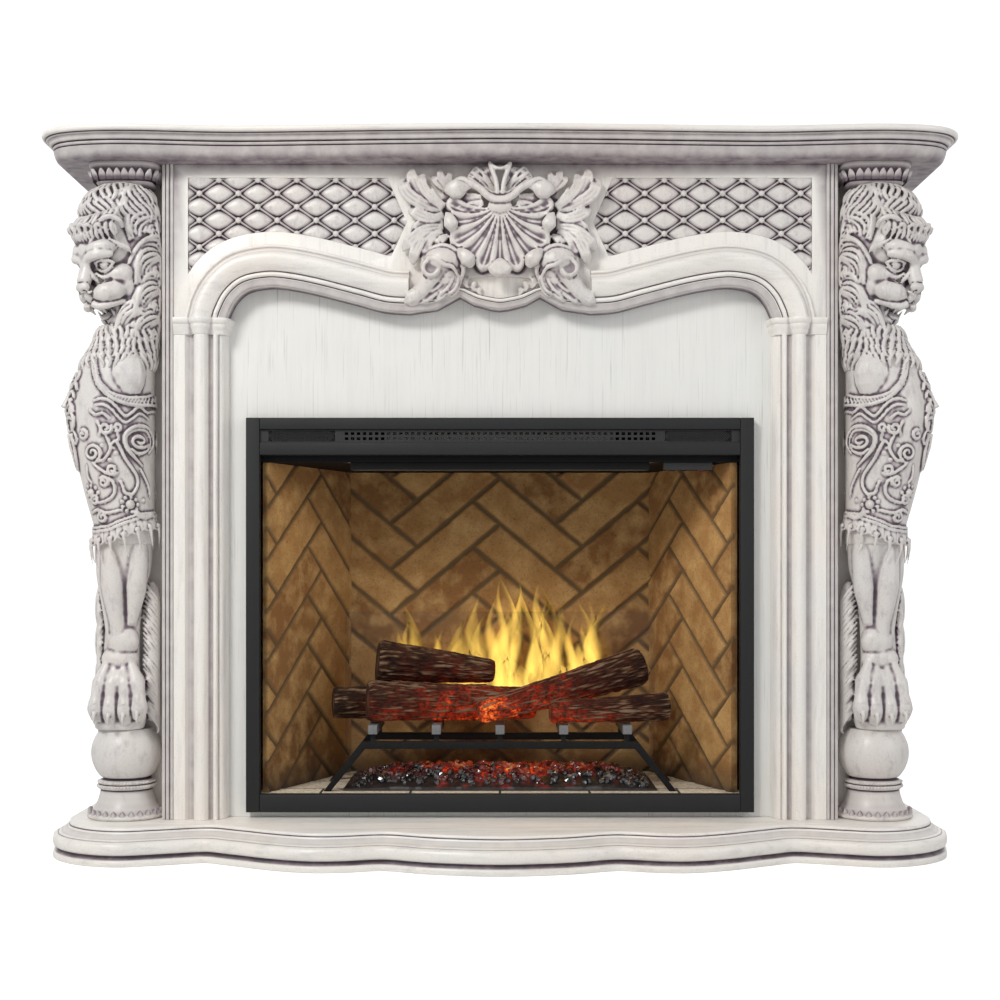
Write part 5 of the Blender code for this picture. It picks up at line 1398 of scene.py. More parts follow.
# (bearing, height, strands, first and last angle) down the inward side, then down the outer flank
LOCKS = {1: ((156, 1020, 9, 168, -70), (158, 952, 11, 172, -95), (158, 897, 10, 170, -95),
             (162, 850, 9, 168, -95), (122, 866, 8, 175, 30)),
         -1: ((-46, 1020, 9, 168, -70), (-48, 958, 11, 172, -95), (-46, 898, 10, 170, -95),
              (-44, 850, 9, 168, -95))}
for flank, rows in LOCKS.items():
    for row in rows:
        lock(*row, flank)
for row, (top, foot, first, last, count) in enumerate(((1104, 1066, -50, 172, 22),
                                                       (1082, 1042, -40, 174, 24))):
    for k in range(count):
        bearing = first + (last - first) * (k + 0.5 * row) / count
        share = np.linspace(0, 1, 7)
        places = [skin(MANE, bearing + 16 * t + 5 * math.sin(5.5 * t + k * 0.9), top - (top - foot) * t,
                       1.5 + 5.0 * math.sin(3.1 * t) + 1.5 * math.sin(k * 2.1)) for t in share]
        head.append(strand(places, 3.9, 0.3))
for row in range(4):
    for k in range(20):
        bearing, top = -56 + 11.6 * (k + 0.5 * (row % 2)), 872 - 13 * row
        places = [skin(BODY, bearing + 15 * t + 4 * math.sin(5 * t + k), top - 34 * t,
                       4.5 * math.sin(3.1 * t) + 0.5)
                  for t in np.linspace(0, 1, 6)]
        head.append(strand(places, 3.6, 0.3))
NOSTRIL, TEAR, PUPIL, CHEEK = ((((8, 91, -23), (10, 89, -25)), 3.0, 4.5),
                               (((14, 58, 6), (13, 57, 2)), 3.6, 3.0),
                               (((24, 50, 5), (29, 49, 5)), 1.8, 0.9),
                               (((22, 62, -20), (34, 52, -20)), 3.4, 2.4))
head_dents = [([on_head(hand * r, f, u) for r, f, u in points], width, depth)
              for hand in (1, -1) for points, width, depth in (NOSTRIL, TEAR, PUPIL, CHEEK)]
for piece in carved("lion_head", head, 1.74, 1, head_dents, 1.0):
    seat(piece, "suite", "carved_resin")

# Capital over each head: a flared band of upright leaves under the shelf
capital_rows = [(1100, 40, 26), (1106, 44, 30), (1109, 47, 33), (1111, 45, 31), (1118, 46, 32),
                (1128, 52, 38), (1133, 56, 42), (1135, 58, 44), (1139.4, 58, 44)]
sides = 72
turn = circle(sides)
corner = (np.abs(np.cos(turn)) ** 4 + np.abs(np.sin(turn)) ** 4) ** -0.25
rings = [np.stack([-5 + half * np.cos(turn) * corner, -20 + deep * np.sin(turn) * corner,
                   np.full(sides, z)], 1)
         for z, half, deep in capital_rows]
outline = evened(np.vstack([rings[5], rings[5][:1]]), 12.0)[:-1]
for side, hand in HANDS:
    glaze = np.repeat([0.7, 0.2, 0.1, 0.6, 0.7, 0.5, 0.2, 0.1, 0.3], sides)
    capital = made("lion_capital_" + hand, before(to_suite(np.vstack(rings), side)),
                   capped(len(rings), sides),
                   resin_paint, 40, {"hollow": glaze})
    seat(capital, "suite", "carved_resin")
    seen = outline[:, 1] > -50
    out = outline[seen] - (-5, -20, outline[0, 2])
    aims = np.column_stack([side * out[:, 0] ** 3 / 52**2, -out[:, 1] ** 3 / 38**2,
                            np.full(seen.sum(), -12.0)])
    leaf = helper("leaf", leaf_points / 1000 * (1.05, 1.25, 0.9), leaf_faces, resin_paint)
    places = to_suite(outline[seen] - (0, 0, 17.5), side)
    row = scatter("capital_leaves_" + hand, leaf, places, aims, resin_paint)
    spots = points_of(row)
    set_marks(row, "hollow", np.clip(0.7 - (spots[:, 2] - 1.108) / 0.02, 0.12, 0.5))
    move_points(row, before(spots))
    seat(row, "suite", "carved_resin")
# Cartouche: one cast of hard resin, pinned over the middle of the arch. A fan shell hangs between two
# scrolls, acanthus leaves spread to both sides and a funnel opens under the shelf.
def petal(path, width, low, high, hollow, tip=0.45, tuck=0.6):
    """A leaf lobe with raised rims, a hollow face and a vein, as (x, ahead, z). low and high are its rise."""
    curve = evened(through(path, 6), 2.0)
    share = np.linspace(0, 1, len(curve))
    across = left_normals(curve)
    wide = width * np.interp(share, (0, 0.3, 0.62, 0.86, 0.96, 1),
                             (0.45, 0.80, 1.0, 0.92, tip * 1.2, tip * 0.4))
    rise = np.interp(share, (0, 0.45, 0.82, 1), (low, low + 0.75 * (high - low), high, high * tuck))
    s = np.linspace(-1, 1, 11)
    face = np.interp(np.abs(s), (0, 0.10, 0.3, 0.6, 0.86, 1),
                     (1 - hollow * 0.5, 1 - hollow * 0.9, 1 - hollow, 0.88, 1.0, 0.42))
    depth = 0.55 * width * np.interp(share, (0, 0.2, 1), (0.4, 1, 0.9))
    front = np.empty((len(curve), len(s), 3))
    front[..., 0] = curve[:, None, 0] + across[:, None, 0] * wide[:, None] * s
    front[..., 2] = curve[:, None, 1] + across[:, None, 1] * wide[:, None] * s
    front[..., 1] = rise[:, None] - depth[:, None] * (1 - face[None, :])
    back = front.copy()
    back[..., 1] = np.maximum(front[..., 1] - 7.0 - 0.3 * width, -1.0)
    ring = np.concatenate([front, back[:, ::-1]], 1)
    return ring.reshape(-1, 3), capped(len(curve), ring.shape[1])


def rib(path, radius, taper):
    """A round raised line through (x, z, ahead) places."""
    curve = evened(through([(x, ahead, z) for x, z, ahead in path], 6), 1.8)
    share = np.linspace(0, 1, len(curve))
    return tube(curve, radius * np.interp(share, (0, 0.25, 0.75, 1), (taper, 1, 1, taper)))


half = []
LEAVES = [
    ([(95, 1062), (121, 1067), (149, 1083), (159, 1101), (159, 1112)], 8.5, 12, 30),
    ([(94, 1063), (119, 1072), (137, 1092), (144, 1113), (143, 1129)], 8.0, 14, 27),
    ([(93, 1064), (113, 1080), (126, 1099), (127, 1112), (123, 1120)], 6.5, 16, 26),
    ([(90, 1068), (100, 1074), (112, 1086), (117, 1099)], 6.0, 17, 24),
    ([(92, 1053), (112, 1047), (134, 1053), (150, 1065)], 8.0, 13, 24),
    ([(93, 1040), (114, 1039), (133, 1035), (146, 1022)], 6.0, 12, 22),
    ([(93, 1034), (121, 1028), (143, 1012), (160, 994)], 7.5, 13, 27),
    ([(97, 1030), (123, 1018), (137, 996), (144, 971)], 7.5, 15, 28),
    ([(95, 1027), (112, 1015), (122, 998), (128, 980)], 6.5, 16, 25),
    ([(85, 1020), (95, 1012), (104, 1001)], 5.5, 16, 22),
    ([(81, 1092), (93, 1109), (98, 1120), (98, 1130)], 5.0, 10, 17),
    ([(81, 1090), (96, 1100), (106, 1109), (111, 1118)], 5.0, 9, 15),
    ([(79, 1094), (83, 1109), (83, 1117), (79, 1124)], 4.6, 10, 16),
    ([(30, 1079), (55, 1078), (90, 1066)], 9.0, 27, 21), ([(27, 1070), (52, 1062), (80, 1050)], 8.0, 30, 24),
    ([(118, 944), (128, 930), (143, 919), (158, 909)], 6.0, 19, 18),
    ([(98, 942), (108, 926), (120, 917), (134, 909)], 5.6, 19, 16),
    ([(84, 956), (86, 938), (94, 924), (108, 912)], 5.2, 18, 16),
    ([(74, 960), (70, 944), (74, 931), (84, 919)], 5.0, 14, 14),
    ([(52, 934), (57, 942), (53, 951)], 3.6, 6, 10), ([(42, 928), (44, 938), (37, 945)], 3.4, 6, 10),
    ([(30, 922), (35, 929), (30, 936)], 3.2, 6, 9),
]
for path, width, low, high in LEAVES:
    half.append(petal(path, width * 1.25, low, high, 0.20))
# The fan shell: hollow lobes with raised rims that spread and bend outwards to rounded ends
LOBES = [(0, 102), (16, 111), (33, 103), (53, 102), (73, 90), (93, 88), (103, 84)]
turn = np.radians(np.arange(-103, 103.1, 0.6))
bearing = np.abs(np.degrees(turn))
number = np.interp(bearing, [lobe for lobe, _ in LOBES], (0, 1, 2, 3, 4, 5, 5.5))
beside = 2 * np.abs(number - np.round(number))
edge = np.interp(bearing, [lobe for lobe, _ in LOBES], [reach for _, reach in LOBES])
edge = edge - 14.0 * (1 - np.sqrt(1 - 0.97 * np.clip(beside, 0, 1) ** 2))
share = np.linspace(0.06, 1, 40)
groove = np.interp(beside, (0, 0.10, 0.3, 0.55, 0.80, 0.92, 1.0), (1.6, 2.8, 3.0, 2.0, -0.8, -0.8, 3.0))
sunk = groove[None, :] * np.interp(share, (0, 0.15, 0.5, 0.9, 1), (0.2, 0.7, 1.0, 1.0, 0.5))[:, None]
rise = np.interp(share, (0, 0.2, 0.55, 0.85, 0.96, 1), (33, 32, 27, 26, 28, 25))[:, None] - sunk
bent = turn[None, :] * np.interp(share, (0, 0.5, 1), (0.66, 0.82, 1.0))[:, None]
x = share[:, None] * edge * np.sin(bent)
z = 1066 - share[:, None] * edge * np.cos(bent)
front = np.stack([x, rise, z], -1)
back = np.stack([x, np.maximum(rise - 16, 3), z], -1)
count = len(turn)
ring = np.vstack([front.reshape(-1, 3), back[::-1].reshape(-1, 3)])
fan_faces = grid_faces(len(share) * 2, count, False)
last = len(ring) - count
fan_faces += [[k, k + 1, last + k + 1, last + k] for k in range(count - 1)]
fan_faces.append([r * count for r in range(2 * len(share))])
fan_faces.append([r * count + count - 1 for r in range(2 * len(share))][::-1])
fan = (ring, fan_faces)
for x, z, wide, tall in ((80, 1037, 11, 16), (54, 980, 12, 13), (71, 1091, 17, 15)):
    half.append(ball((x, 20, z), (wide * 0.8, 11.0, tall * 0.8), 14, 20))
for path, radii in (([(88, 24, 1055), (84, 29, 1046), (80, 31, 1035), (77, 25, 1023)], (2, 9, 12.5, 5)),
                    ([(71, 25, 995), (62, 31, 987), (53, 32, 977), (46, 25, 965)], (2, 9.5, 13.5, 5)),
                    ([(90, 24, 1090), (82, 28, 1091), (70, 30, 1092), (58, 30, 1097), (46, 31, 1100)],
                     (5, 14, 17, 10.5, 6.5))):
    line = evened(through(path, 6), 1.8)
    half.append(tube(line, dealt(radii, len(line)), 18, 0.62))
half.append(rib([(72, 1103, 29), (62, 1106, 30), (52, 1102, 31), (42, 1097, 32), (31, 1090, 33),
                 (21, 1080, 34), (9, 1074, 35), (0, 1073, 35)], 6.4, 1.0))
half.append(rib([(54, 1112, 12), (40, 1102, 24), (27, 1092, 27), (12, 1084, 30), (0, 1082, 31)], 4.0, 0.7))
for path in ([(8, 1086), (30, 1104), (52, 1118)], [(8, 1088), (26, 1108), (44, 1129)],
             [(6, 1088), (17, 1108), (27, 1130)]):
    half.append(petal(path, 8.0, 18, 24, 0.7, 0.8, 0.8))
half.append(rib([(4, 1084, 32), (7, 1106, 30), (15, 1128, 28), (17, 1136, 26)], 4.2, 0.9))
half.append(rib([(17, 1134, 28), (9, 1127, 31), (0, 1124, 32)], 3.2, 0.9))
swell = [(152, 917, 4), (141, 920, 7), (129, 928, 12), (116, 946, 16), (101, 966, 20), (89, 970, 20),
         (84, 963, 19), (92, 955, 17)]
path = evened(through([(x, ahead * 0.55, z) for x, z, ahead in swell], 6), 2.0)
share = np.linspace(0, 1, len(path))
half.append(tube(path, np.interp(share, (0, 0.2, 0.5, 0.75, 1), (14.5, 15, 19, 22, 16)), 16))
half.append(ball((94, 16, 977), (32, 23, 23), 16, 22))
half.append(ball((90, 8, 955), (26, 16, 24), 16, 22))
turn = np.linspace(0, 2 * np.pi, 17)
half.append(rib([(113 + 12 * math.cos(t), 963 + 12 * math.sin(t), 29) for t in turn], 4.6, 1.0))
half.append(ball((113, 14, 963), (15, 14, 15), 12, 16))
half.append(rib([(121, 978, 30), (106, 977, 35), (91, 967, 36), (77, 963, 33), (69, 951, 27)], 3.6, 0.6))
for path in ([(74, 960), (72, 948), (78, 934), (92, 923)], [(86, 962), (83, 948), (92, 934), (108, 922)],
             [(98, 962), (96, 950), (106, 938), (124, 926)]):
    half.append(petal(path, 8.0, 25, 19, 0.5))
cut = [([(flip * 113, 30, 963), (flip * 113, 24, 963)], 10.0, 1.8) for flip in (-1, 1)]
half.append(rib([(66, 940, 12), (60, 962, 22), (70, 988, 26), (90, 1000, 25), (110, 996, 22), (125, 982, 18),
                 (129, 966, 14)], 4.4, 0.6))
half.append(rib([(128, 960, 14), (124, 948, 16), (112, 942, 18), (98, 944, 20)], 4.0, 0.6))
base = [(0, 1137), (40, 1132), (70, 1108), (94, 1094), (104, 1068), (104, 1030), (112, 985), (126, 960),
        (128, 938), (100, 932), (78, 930), (66, 938), (52, 950), (0, 955)]
half.append((np.array([(x, ahead, z) for ahead in (-1.0, 7.0) for x, z in base]), capped(2, len(base))))
flip = [(form * (-1, 1, 1), [face[::-1] for face in faces]) for form, faces in half]
drop = tube([(0, 30, 979), (0, 33, 971), (0, 34, 962), (0, 31, 954), (0, 25, 949)], (3, 13, 21.5, 17, 6),
            22, 0.5)
middle = [fan, drop, ball((0, 29, 1064), (20, 8, 13), 12, 20)]


def on_face(points, side):
    """Places (x, ahead, z) in millimetres before the header's face, in metres."""
    x, ahead, z = points.T
    return np.stack([side * x, face_y * 1000 - np.clip(ahead, 0.3, 40.0), np.minimum(z, 1139.2)], 1) / 1000


cartouche = carved("carved_cartouche", half + flip + middle, 1.72, 2, cut, 0.95, on_face, ((1, ""),),
                   face_y)[0]
spots = points_of(cartouche)
eyes = np.hypot(np.abs(spots[:, 0]) - 0.113, spots[:, 2] - 0.963) < 0.0125
set_marks(cartouche, "hollow", np.minimum(marks_of(cartouche, "hollow"), np.where(eyes, 0.30, 1.0)))
seat(cartouche, "suite", "carved_resin", "shell_cartouche")

# Crest moulding: the arch moulding's lower beads run on below the scrolls and rise to a cusp each side
crest_section = moulding(ARCH_RUN[:4], 0.9)
crest_line = np.array([(cartouche_half, spring + ARCH_END * arch_rise)] + crest)
stretches = [through(crest_line[:3], 14), through(crest_line[2:], 14)]
right_line = np.vstack([stretches[0], stretches[1][1:]])
crest_line = np.vstack([right_line, right_line[-2::-1] * (-1, 1)])
out = -left_normals(crest_line)
cusp = np.interp(np.abs(crest_line[:, 0]), (0, 0.050, 0.066, 0.090, cartouche_half),
                 (0.74, 0.70, 0.58, 0.80, 1.0))
# The crest takes the arch's glaze and its band of painted shade.
crest_piece = bent_moulding("crest_moulding", (crest_line, out), crest_section, 24.6,
                            arch_glaze_and_shade[:len(crest_section)], squeeze=cusp[:, None, None])
seat(crest_piece, "suite", "antique_white", "shell_cartouche")

# Firebox casing: five zinc-coated sheets that lap at the corners and are held by pan-head screws.
# It stands on the deck, and the cord would enter at the gland in its back.
def dress(finish, *names):
    """Gives carried-over nodes their finish."""
    for name in names:
        for place in nodes[name].material_slots:
            place.material = finish


def metal(name, colour, roughness, scale, metallic=1.0, depth=0.0002, specular=0.5):
    """Coated or bare metal with a fine grain, faint smears and duller patches."""
    material, tree, shader = surface(name, roughness, metallic)
    fine = speckle(tree, scale, 5.0, (1, 1, 1), 0.7)
    smear = speckle(tree, 14.0, 4.0)
    shade = ramp(tree, fine, (0.32, toned(colour, 0.80)), (0.60, colour), (0.80, toned(colour, 1.22)))
    shade = blend(tree, sums(tree, "MULTIPLY", smear, 0.25), shade, toned(colour, 0.72))
    feed(tree, shader, {"Base Color": shade, "Specular IOR Level": specular,
                        "Roughness": between(tree, smear, roughness - 0.08, roughness + 0.14)})
    bumped(tree, shader, fine, 0.3, depth)
    return material


zinc, tree, shader = surface("zinc_coated_steel", 0.42, metallic=0.85)
spangle = put(tree, "ShaderNodeTexVoronoi", {"Vector": here(tree), "Scale": 90.0})
tone = ramp(tree, sums(tree, "ADD", sums(tree, "MULTIPLY", spangle.outputs["Color"], 0.6),
            sums(tree, "MULTIPLY", speckle(tree, 9.0), 0.5)),
            (0.25, (0.36, 0.37, 0.38)), (0.60, (0.52, 0.53, 0.54)), (0.9, (0.62, 0.63, 0.64)))
feed(tree, shader, {"Base Color": tone})
bumped(tree, shader, speckle(tree, 240.0, 4.0), 0.15, 0.0002)
sheets = [name for name in nodes if name.startswith("casing_")]
dress(zinc, *sheets, "rotor_cradle")

screw_zinc = metal("zinc_screws", (0.58, 0.58, 0.60), 0.35, 500.0)
back_low, back_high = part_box("casing_back")
head = [(0.0042, -0.0004), (0.0042, 0.0006), (0.0038, 0.0017), (0.0026, 0.0024), (0.0014, 0.0026),
        (0.0013, 0.0012)]
turn = circle(14)
rings = [np.stack([r * np.cos(turn), r * np.sin(turn), np.full(14, z)], 1) for r, z in head]
screw = helper("screw", np.vstack(rings), capped(len(head), 14), screw_zinc)
inset, end_gap = 0.010, 0.04
places = [(x, back_high.y, z) for z in np.linspace(back_low.z + end_gap, back_high.z - end_gap, 5)
          for x in (back_low.x + inset, back_high.x - inset)]
places += [(x, back_high.y, z) for x in np.linspace(back_low.x, back_high.x, 8)[1:-1]
           for z in (back_low.z + inset, back_high.z - inset)]
screws = scatter("casing_screws", screw, places, [(0, 1, 0)] * len(places), screw_zinc)
seat(screws, "suite", "bright_metal")

# Brick panels: three cast panels, one behind and two splayed, pressed with a herringbone of long
# tan bricks with brown mortar. They stand on the floor pan and hold the hood up.
brick_width, brick_count, mortar = 0.0720, 3, 0.0066
brick_steepness, brick_thickness, brick_step = 0.84, 0.012, 0.0026


def herringbone(across, up, shift):
    """Depth into each brick from its edge, and a number for each brick."""
    u = (across + shift + up / brick_steepness) / math.sqrt(2) / brick_width
    v = (up / brick_steepness - across - shift) / math.sqrt(2) / brick_width
    i, j = np.floor(u), np.floor(v)
    place = np.mod(i - j, 2 * brick_count)
    lengthwise = place < brick_count
    start = np.where(lengthwise, i - place, j - (2 * brick_count - 1 - place))
    along = np.where(lengthwise, u, v) - start
    beside = np.where(lengthwise, v - j, u - i)
    edge = np.minimum(np.minimum(along, brick_count - along), np.minimum(beside, 1 - beside)) * brick_width
    number = np.where(lengthwise, start * 7.31 + j * 3.77, start * 5.13 + i * 9.71 + 40)
    tone = np.mod(np.abs(np.sin(number * 12.9898) * 43758.5453), 1.0)
    return edge, tone


def field(points, scale, octaves=3):
    """Soft noise at each point, about -1 to 1."""
    return np.array([noise.fractal(Vector(p) * scale, 0.8, 2.0, octaves) for p in points])


brick_clay, tree, shader = surface("herringbone_brick", 0.88)
tone, joint, soot = mark(tree, "tone"), mark(tree, "joint"), mark(tree, "soot")
grit = speckle(tree, 260.0, 6.0, (1, 1, 1), 0.75)
cloud = speckle(tree, 26.0, 4.0)
clay = ramp(tree, tone, (0.0, (0.170, 0.072, 0.020)), (0.35, (0.340, 0.172, 0.054)),
            (0.7, (0.450, 0.245, 0.084)), (1.0, (0.235, 0.102, 0.029)))
clay = blend(tree, mask(tree, cloud, 0.42, 0.70, 0.85), clay, (0.58, 0.36, 0.140))
clay = blend(tree, mask(tree, grit, 0.52, 0.76, 0.9), clay, (0.085, 0.050, 0.026))
colour = blend(tree, joint, clay, (0.130, 0.078, 0.033))
# Each panel is darker towards its foot.
colour = blend(tree, soot, colour, (0.022, 0.018, 0.015))
feed(tree, shader, {"Base Color": colour})
bumped(tree, shader, grit, 0.5, 0.0010)


def rim_of(rows, columns):
    """The numbers of the points round the edge of a grid, in order."""
    rim = list(range(columns)) + [r * columns + columns - 1 for r in range(1, rows)]
    rim += [(rows - 1) * columns + c for c in range(columns - 2, -1, -1)]
    return rim + [r * columns for r in range(rows - 2, 0, -1)]


def walled(rows, columns):
    """The faces of a grid with walls from its rim to a second rim, which follows it and is closed flat."""
    total, rim = rows * columns, rim_of(rows, columns)
    count = len(rim)
    walls = [[a, total + k, total + (k + 1) % count, rim[(k + 1) % count]] for k, a in enumerate(rim)]
    return grid_faces(rows, columns, False) + walls + [[total + k for k in range(count)]]


def brick_panel(name, start, end, low, high, shift):
    """A panel from start to end in plan, facing the right-hand side of that direction."""
    start, end = np.array(start), np.array(end)
    length = np.linalg.norm(end - start)
    along = (end - start) / length
    outward = np.array([along[1], -along[0]])
    columns, rows = (int(size / brick_step) + 1 for size in (length, high - low))
    s, z = np.meshgrid(np.linspace(0, length, columns), np.linspace(low, high, rows))
    s, z = s.ravel(), z.ravel()
    edge, tone = herringbone(s, z, shift)
    plan = start + along * s[:, None]
    spots = np.column_stack([plan, z])
    rough = field(spots, 42.0)
    edge = edge - mortar / 2 + rough * 0.0011
    face = 1 / (1 + np.exp(-(edge - 0.0012) / 0.0007))
    recess = 0.0048 - 0.0042 * face + 0.0007 * field(spots, 110.0, 2) * face - 0.0011 * (tone - 0.5) * face
    recess = np.clip(recess, 0.0001, 0.0060)
    front = np.column_stack([plan - outward * recess[:, None], z])
    back = np.column_stack([plan - outward * brick_thickness, z])
    rim = rim_of(rows, columns)
    # The lowest 5 cm of each panel darken towards the floor.
    foot_darkening_share = 0.8 * np.clip((low + 0.05 - z) / 0.05, 0, 1)
    marks = {label: np.append(values, np.zeros(len(rim)))
             for label, values in (("tone", tone), ("joint", 1 - face), ("soot", foot_darkening_share))}
    return made(name, np.vstack([front, back[rim]]), walled(rows, columns), brick_clay, 60, marks)


for hand, side in (("left", -1), ("right", 1)):
    low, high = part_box("brick_" + hand)
    near_x, far_x = 0.386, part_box("brick_back")[1].x - 0.0130
    ends = [(side * near_x, low.y), (side * far_x, high.y)]
    if side > 0:
        ends.reverse()
    panel = brick_panel("pressed_brick_" + hand, *ends, low.z, high.z, 0.031 * side)
    seat(panel, "suite", "brick_clay", "brick_" + hand)
low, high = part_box("brick_back")
panel = brick_panel("pressed_brick_back", (low.x, low.y), (high.x, low.y), low.z, high.z,
                    low.x + 1.5 * math.sqrt(2) * brick_width)
seat(panel, "suite", "brick_clay", "brick_back")

# Hearth floor: a folded pan with a slab-patterned top and a window that the ember light comes
# through. The hood over it is black sheet, with a flange turned down to the vent rail and the
# downlight strip screwed under its front.
slabs, tree, shader = surface("hearth_slabs", 0.80)
joints = put(tree, "ShaderNodeTexBrick", {"Vector": here(tree), "Color1": (0.760, 0.680, 0.540, 1),
             "Color2": (0.880, 0.780, 0.615, 1), "Mortar": (0.020, 0.017, 0.014, 1), "Scale": 1.0,
             "Mortar Size": 0.0022, "Brick Width": 0.15, "Row Height": 0.09})
grit = speckle(tree, 190.0, 6.0, (1, 1, 1), 0.7)
shade = blend(tree, mask(tree, grit, 0.45, 0.75, 0.8), joints.outputs["Color"], (0.035, 0.028, 0.022))
feed(tree, shader, {"Base Color": shade})
bumped(tree, shader, sums(tree, "SUBTRACT", grit, joints.outputs["Fac"]), 0.4, 0.001)
dress(slabs, "hearth_floor")

hood_black = metal("black_hood_enamel", (0.007, 0.007, 0.008), 0.60, 320.0, 0.0, 0.0003, 0.12)
# The heater housing is zinc-coated, but takes the black enamel as painted shade where it shows in the dark
# gap above the hood.
dress(hood_black, "hood", "heater_housing")
hood_low, hood_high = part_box("hood")
wall = 0.0012
flange_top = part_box("vent_grille")[0].z - 0.0015
flange = [(hood_low.x, hood_high.z + 0.0001), (hood_high.x, hood_high.z + 0.0001),
          (hood_high.x, flange_top), (hood_low.x, flange_top)]
seat(slab("hood_flange", flange, hood_low.y, hood_low.y + wall, hood_black), "suite", "hood_black")

lamp_bar, tree, shader = surface("downlight_diffuser", 0.35)
parted = put(tree, "ShaderNodeSeparateXYZ", {0: here(tree)})
lamp_pitch = 0.0125
ripple = sums(tree, "SINE", sums(tree, "MULTIPLY", parted.outputs[0], 2 * math.pi / lamp_pitch), 0.0)
spots = put(tree, "ShaderNodeMapRange", {"Value": ripple, "From Min": -1.0, "To Min": 0.55, "To Max": 1.0})
frosted = blend(tree, speckle(tree, 300.0), (1.0, 0.78, 0.48), (1.0, 0.84, 0.58))
lit_colour = blend(tree, 1.0, frosted, spots.outputs[0], "MULTIPLY")
feed(tree, shader, {"Base Color": lit_colour, "Emission Color": lit_colour, "Emission Strength": 17.0})
low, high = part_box("downlight_strip")
for name, finish, slot, section in (
        ("downlight_channel", hood_black, "hood_black", [
            (low.y, high.z), (low.y, low.z), (low.y + wall, low.z), (low.y + wall, high.z - wall),
            (high.y - wall, high.z - wall), (high.y - wall, low.z), (high.y, low.z), (high.y, high.z)]),
        ("downlight_diffuser", lamp_bar, "lamp_bar", [
            (low.y + 0.002, high.z - 0.0015), (low.y + 0.002, high.z - 0.0035),
            (low.y + 0.006, high.z - 0.0055), (high.y - 0.006, high.z - 0.0055),
            (high.y - 0.002, high.z - 0.0035), (high.y - 0.002, high.z - 0.0015)])):
    rows = np.vstack([np.insert(np.array(section), 0, x, axis=1) for x in (low.x, high.x)])
    seat(made(name, rows, capped(2, len(section)), finish, 30), "suite", slot, "downlight_strip")

# Grate: one black casting of splayed legs, rails and five square bars, whose bar ends were ground
# bright. It stands on the hearth floor and carries the logs.
iron, tree, shader = surface("cast_iron", 0.62, 0.35)
bright = mark(tree, "ground")
sand = speckle(tree, 380.0, 5.0, (1, 1, 1), 0.7)
cast = ramp(tree, sand, (0.35, (0.003, 0.003, 0.0035)), (0.70, (0.012, 0.012, 0.012)))
worn = ramp(tree, sand, (0.3, (0.14, 0.14, 0.145)), (0.7, (0.23, 0.23, 0.235)))
feed(tree, shader, {"Base Color": blend(tree, bright, cast, worn), "Specular IOR Level": 0.25})
bumped(tree, shader, sand, 0.5, 0.0005)
grate = eased("cast_grate", "grate", iron, 0.0012)
spots = points_of(grate)
grate_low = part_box("grate")[0]
set_marks(grate, "ground", spots[:, 1] < grate_low.y + 0.0008)
seat(grate, "suite", "grate_iron", "grate")


# Logs: cast resin logs with split and charred bark, painted on top and lit from the embers below.
# Each one rests on the grate bars or on the log under it.
log_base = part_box("grate")[1].z + 0.0003
LOGS = {
    "log_front": ((-0.2250, 0.075, 0.0381, 0.0378), (0.060, 0.135, 0.0305, 0.0300)),
    "log_left": ((-0.2900, 0.135, 0.0305, 0.0300), (-0.020, 0.195, 0.0303, 0.0295)),
    "log_back": ((-0.2140, 0.152, 0.1011, 0.0415), (-0.012, 0.188, 0.0817, 0.0220)),
    "log_crossing": ((-0.0350, 0.045, 0.0205, 0.0198), (0.245, 0.135, 0.0930, 0.0360)),
    "log_right": ((0.0850, 0.0455, 0.0207, 0.0205), (0.285, 0.080, 0.0272, 0.0270)),
}
log_resin, tree, shader = surface("charred_log", 0.85)
ridge, ember = mark(tree, "ridge"), mark(tree, "ember")
fibre = speckle(tree, 160.0, 5.0, (1, 1, 1), 0.7)
broad = speckle(tree, 28.0, 4.0)
height = sums(tree, "ADD", sums(tree, "MULTIPLY", ridge, 0.75), sums(tree, "MULTIPLY", broad, 0.35))
bark = ramp(tree, height, (0.12, (0.008, 0.005, 0.004)), (0.46, (0.036, 0.019, 0.011)),
            (0.70, (0.115, 0.062, 0.034)), (0.95, (0.215, 0.145, 0.098)))
bark = blend(tree, mask(tree, fibre, 0.50, 0.80, 0.7), bark, (0.020, 0.012, 0.008))
cracks = sums(tree, "ADD", fibre, sums(tree, "MULTIPLY", ridge, -0.18))
# Painted light: the glow in the cracks stands for the ember bed's light from below.
heat = sums(tree, "MULTIPLY", ember, mask(tree, cracks, 0.34, 0.60))
glow_colour = ramp(tree, heat, (0.0, (0, 0, 0)), (0.30, (0.35, 0.018, 0.002)), (0.65, (0.95, 0.11, 0.012)),
               (1.0, (1.0, 0.36, 0.06)))
feed(tree, shader, {"Base Color": bark, "Emission Color": glow_colour, "Emission Strength": 0.85,
                    "Specular IOR Level": 0.15})
bumped(tree, shader, fibre, 0.5, 0.0012)


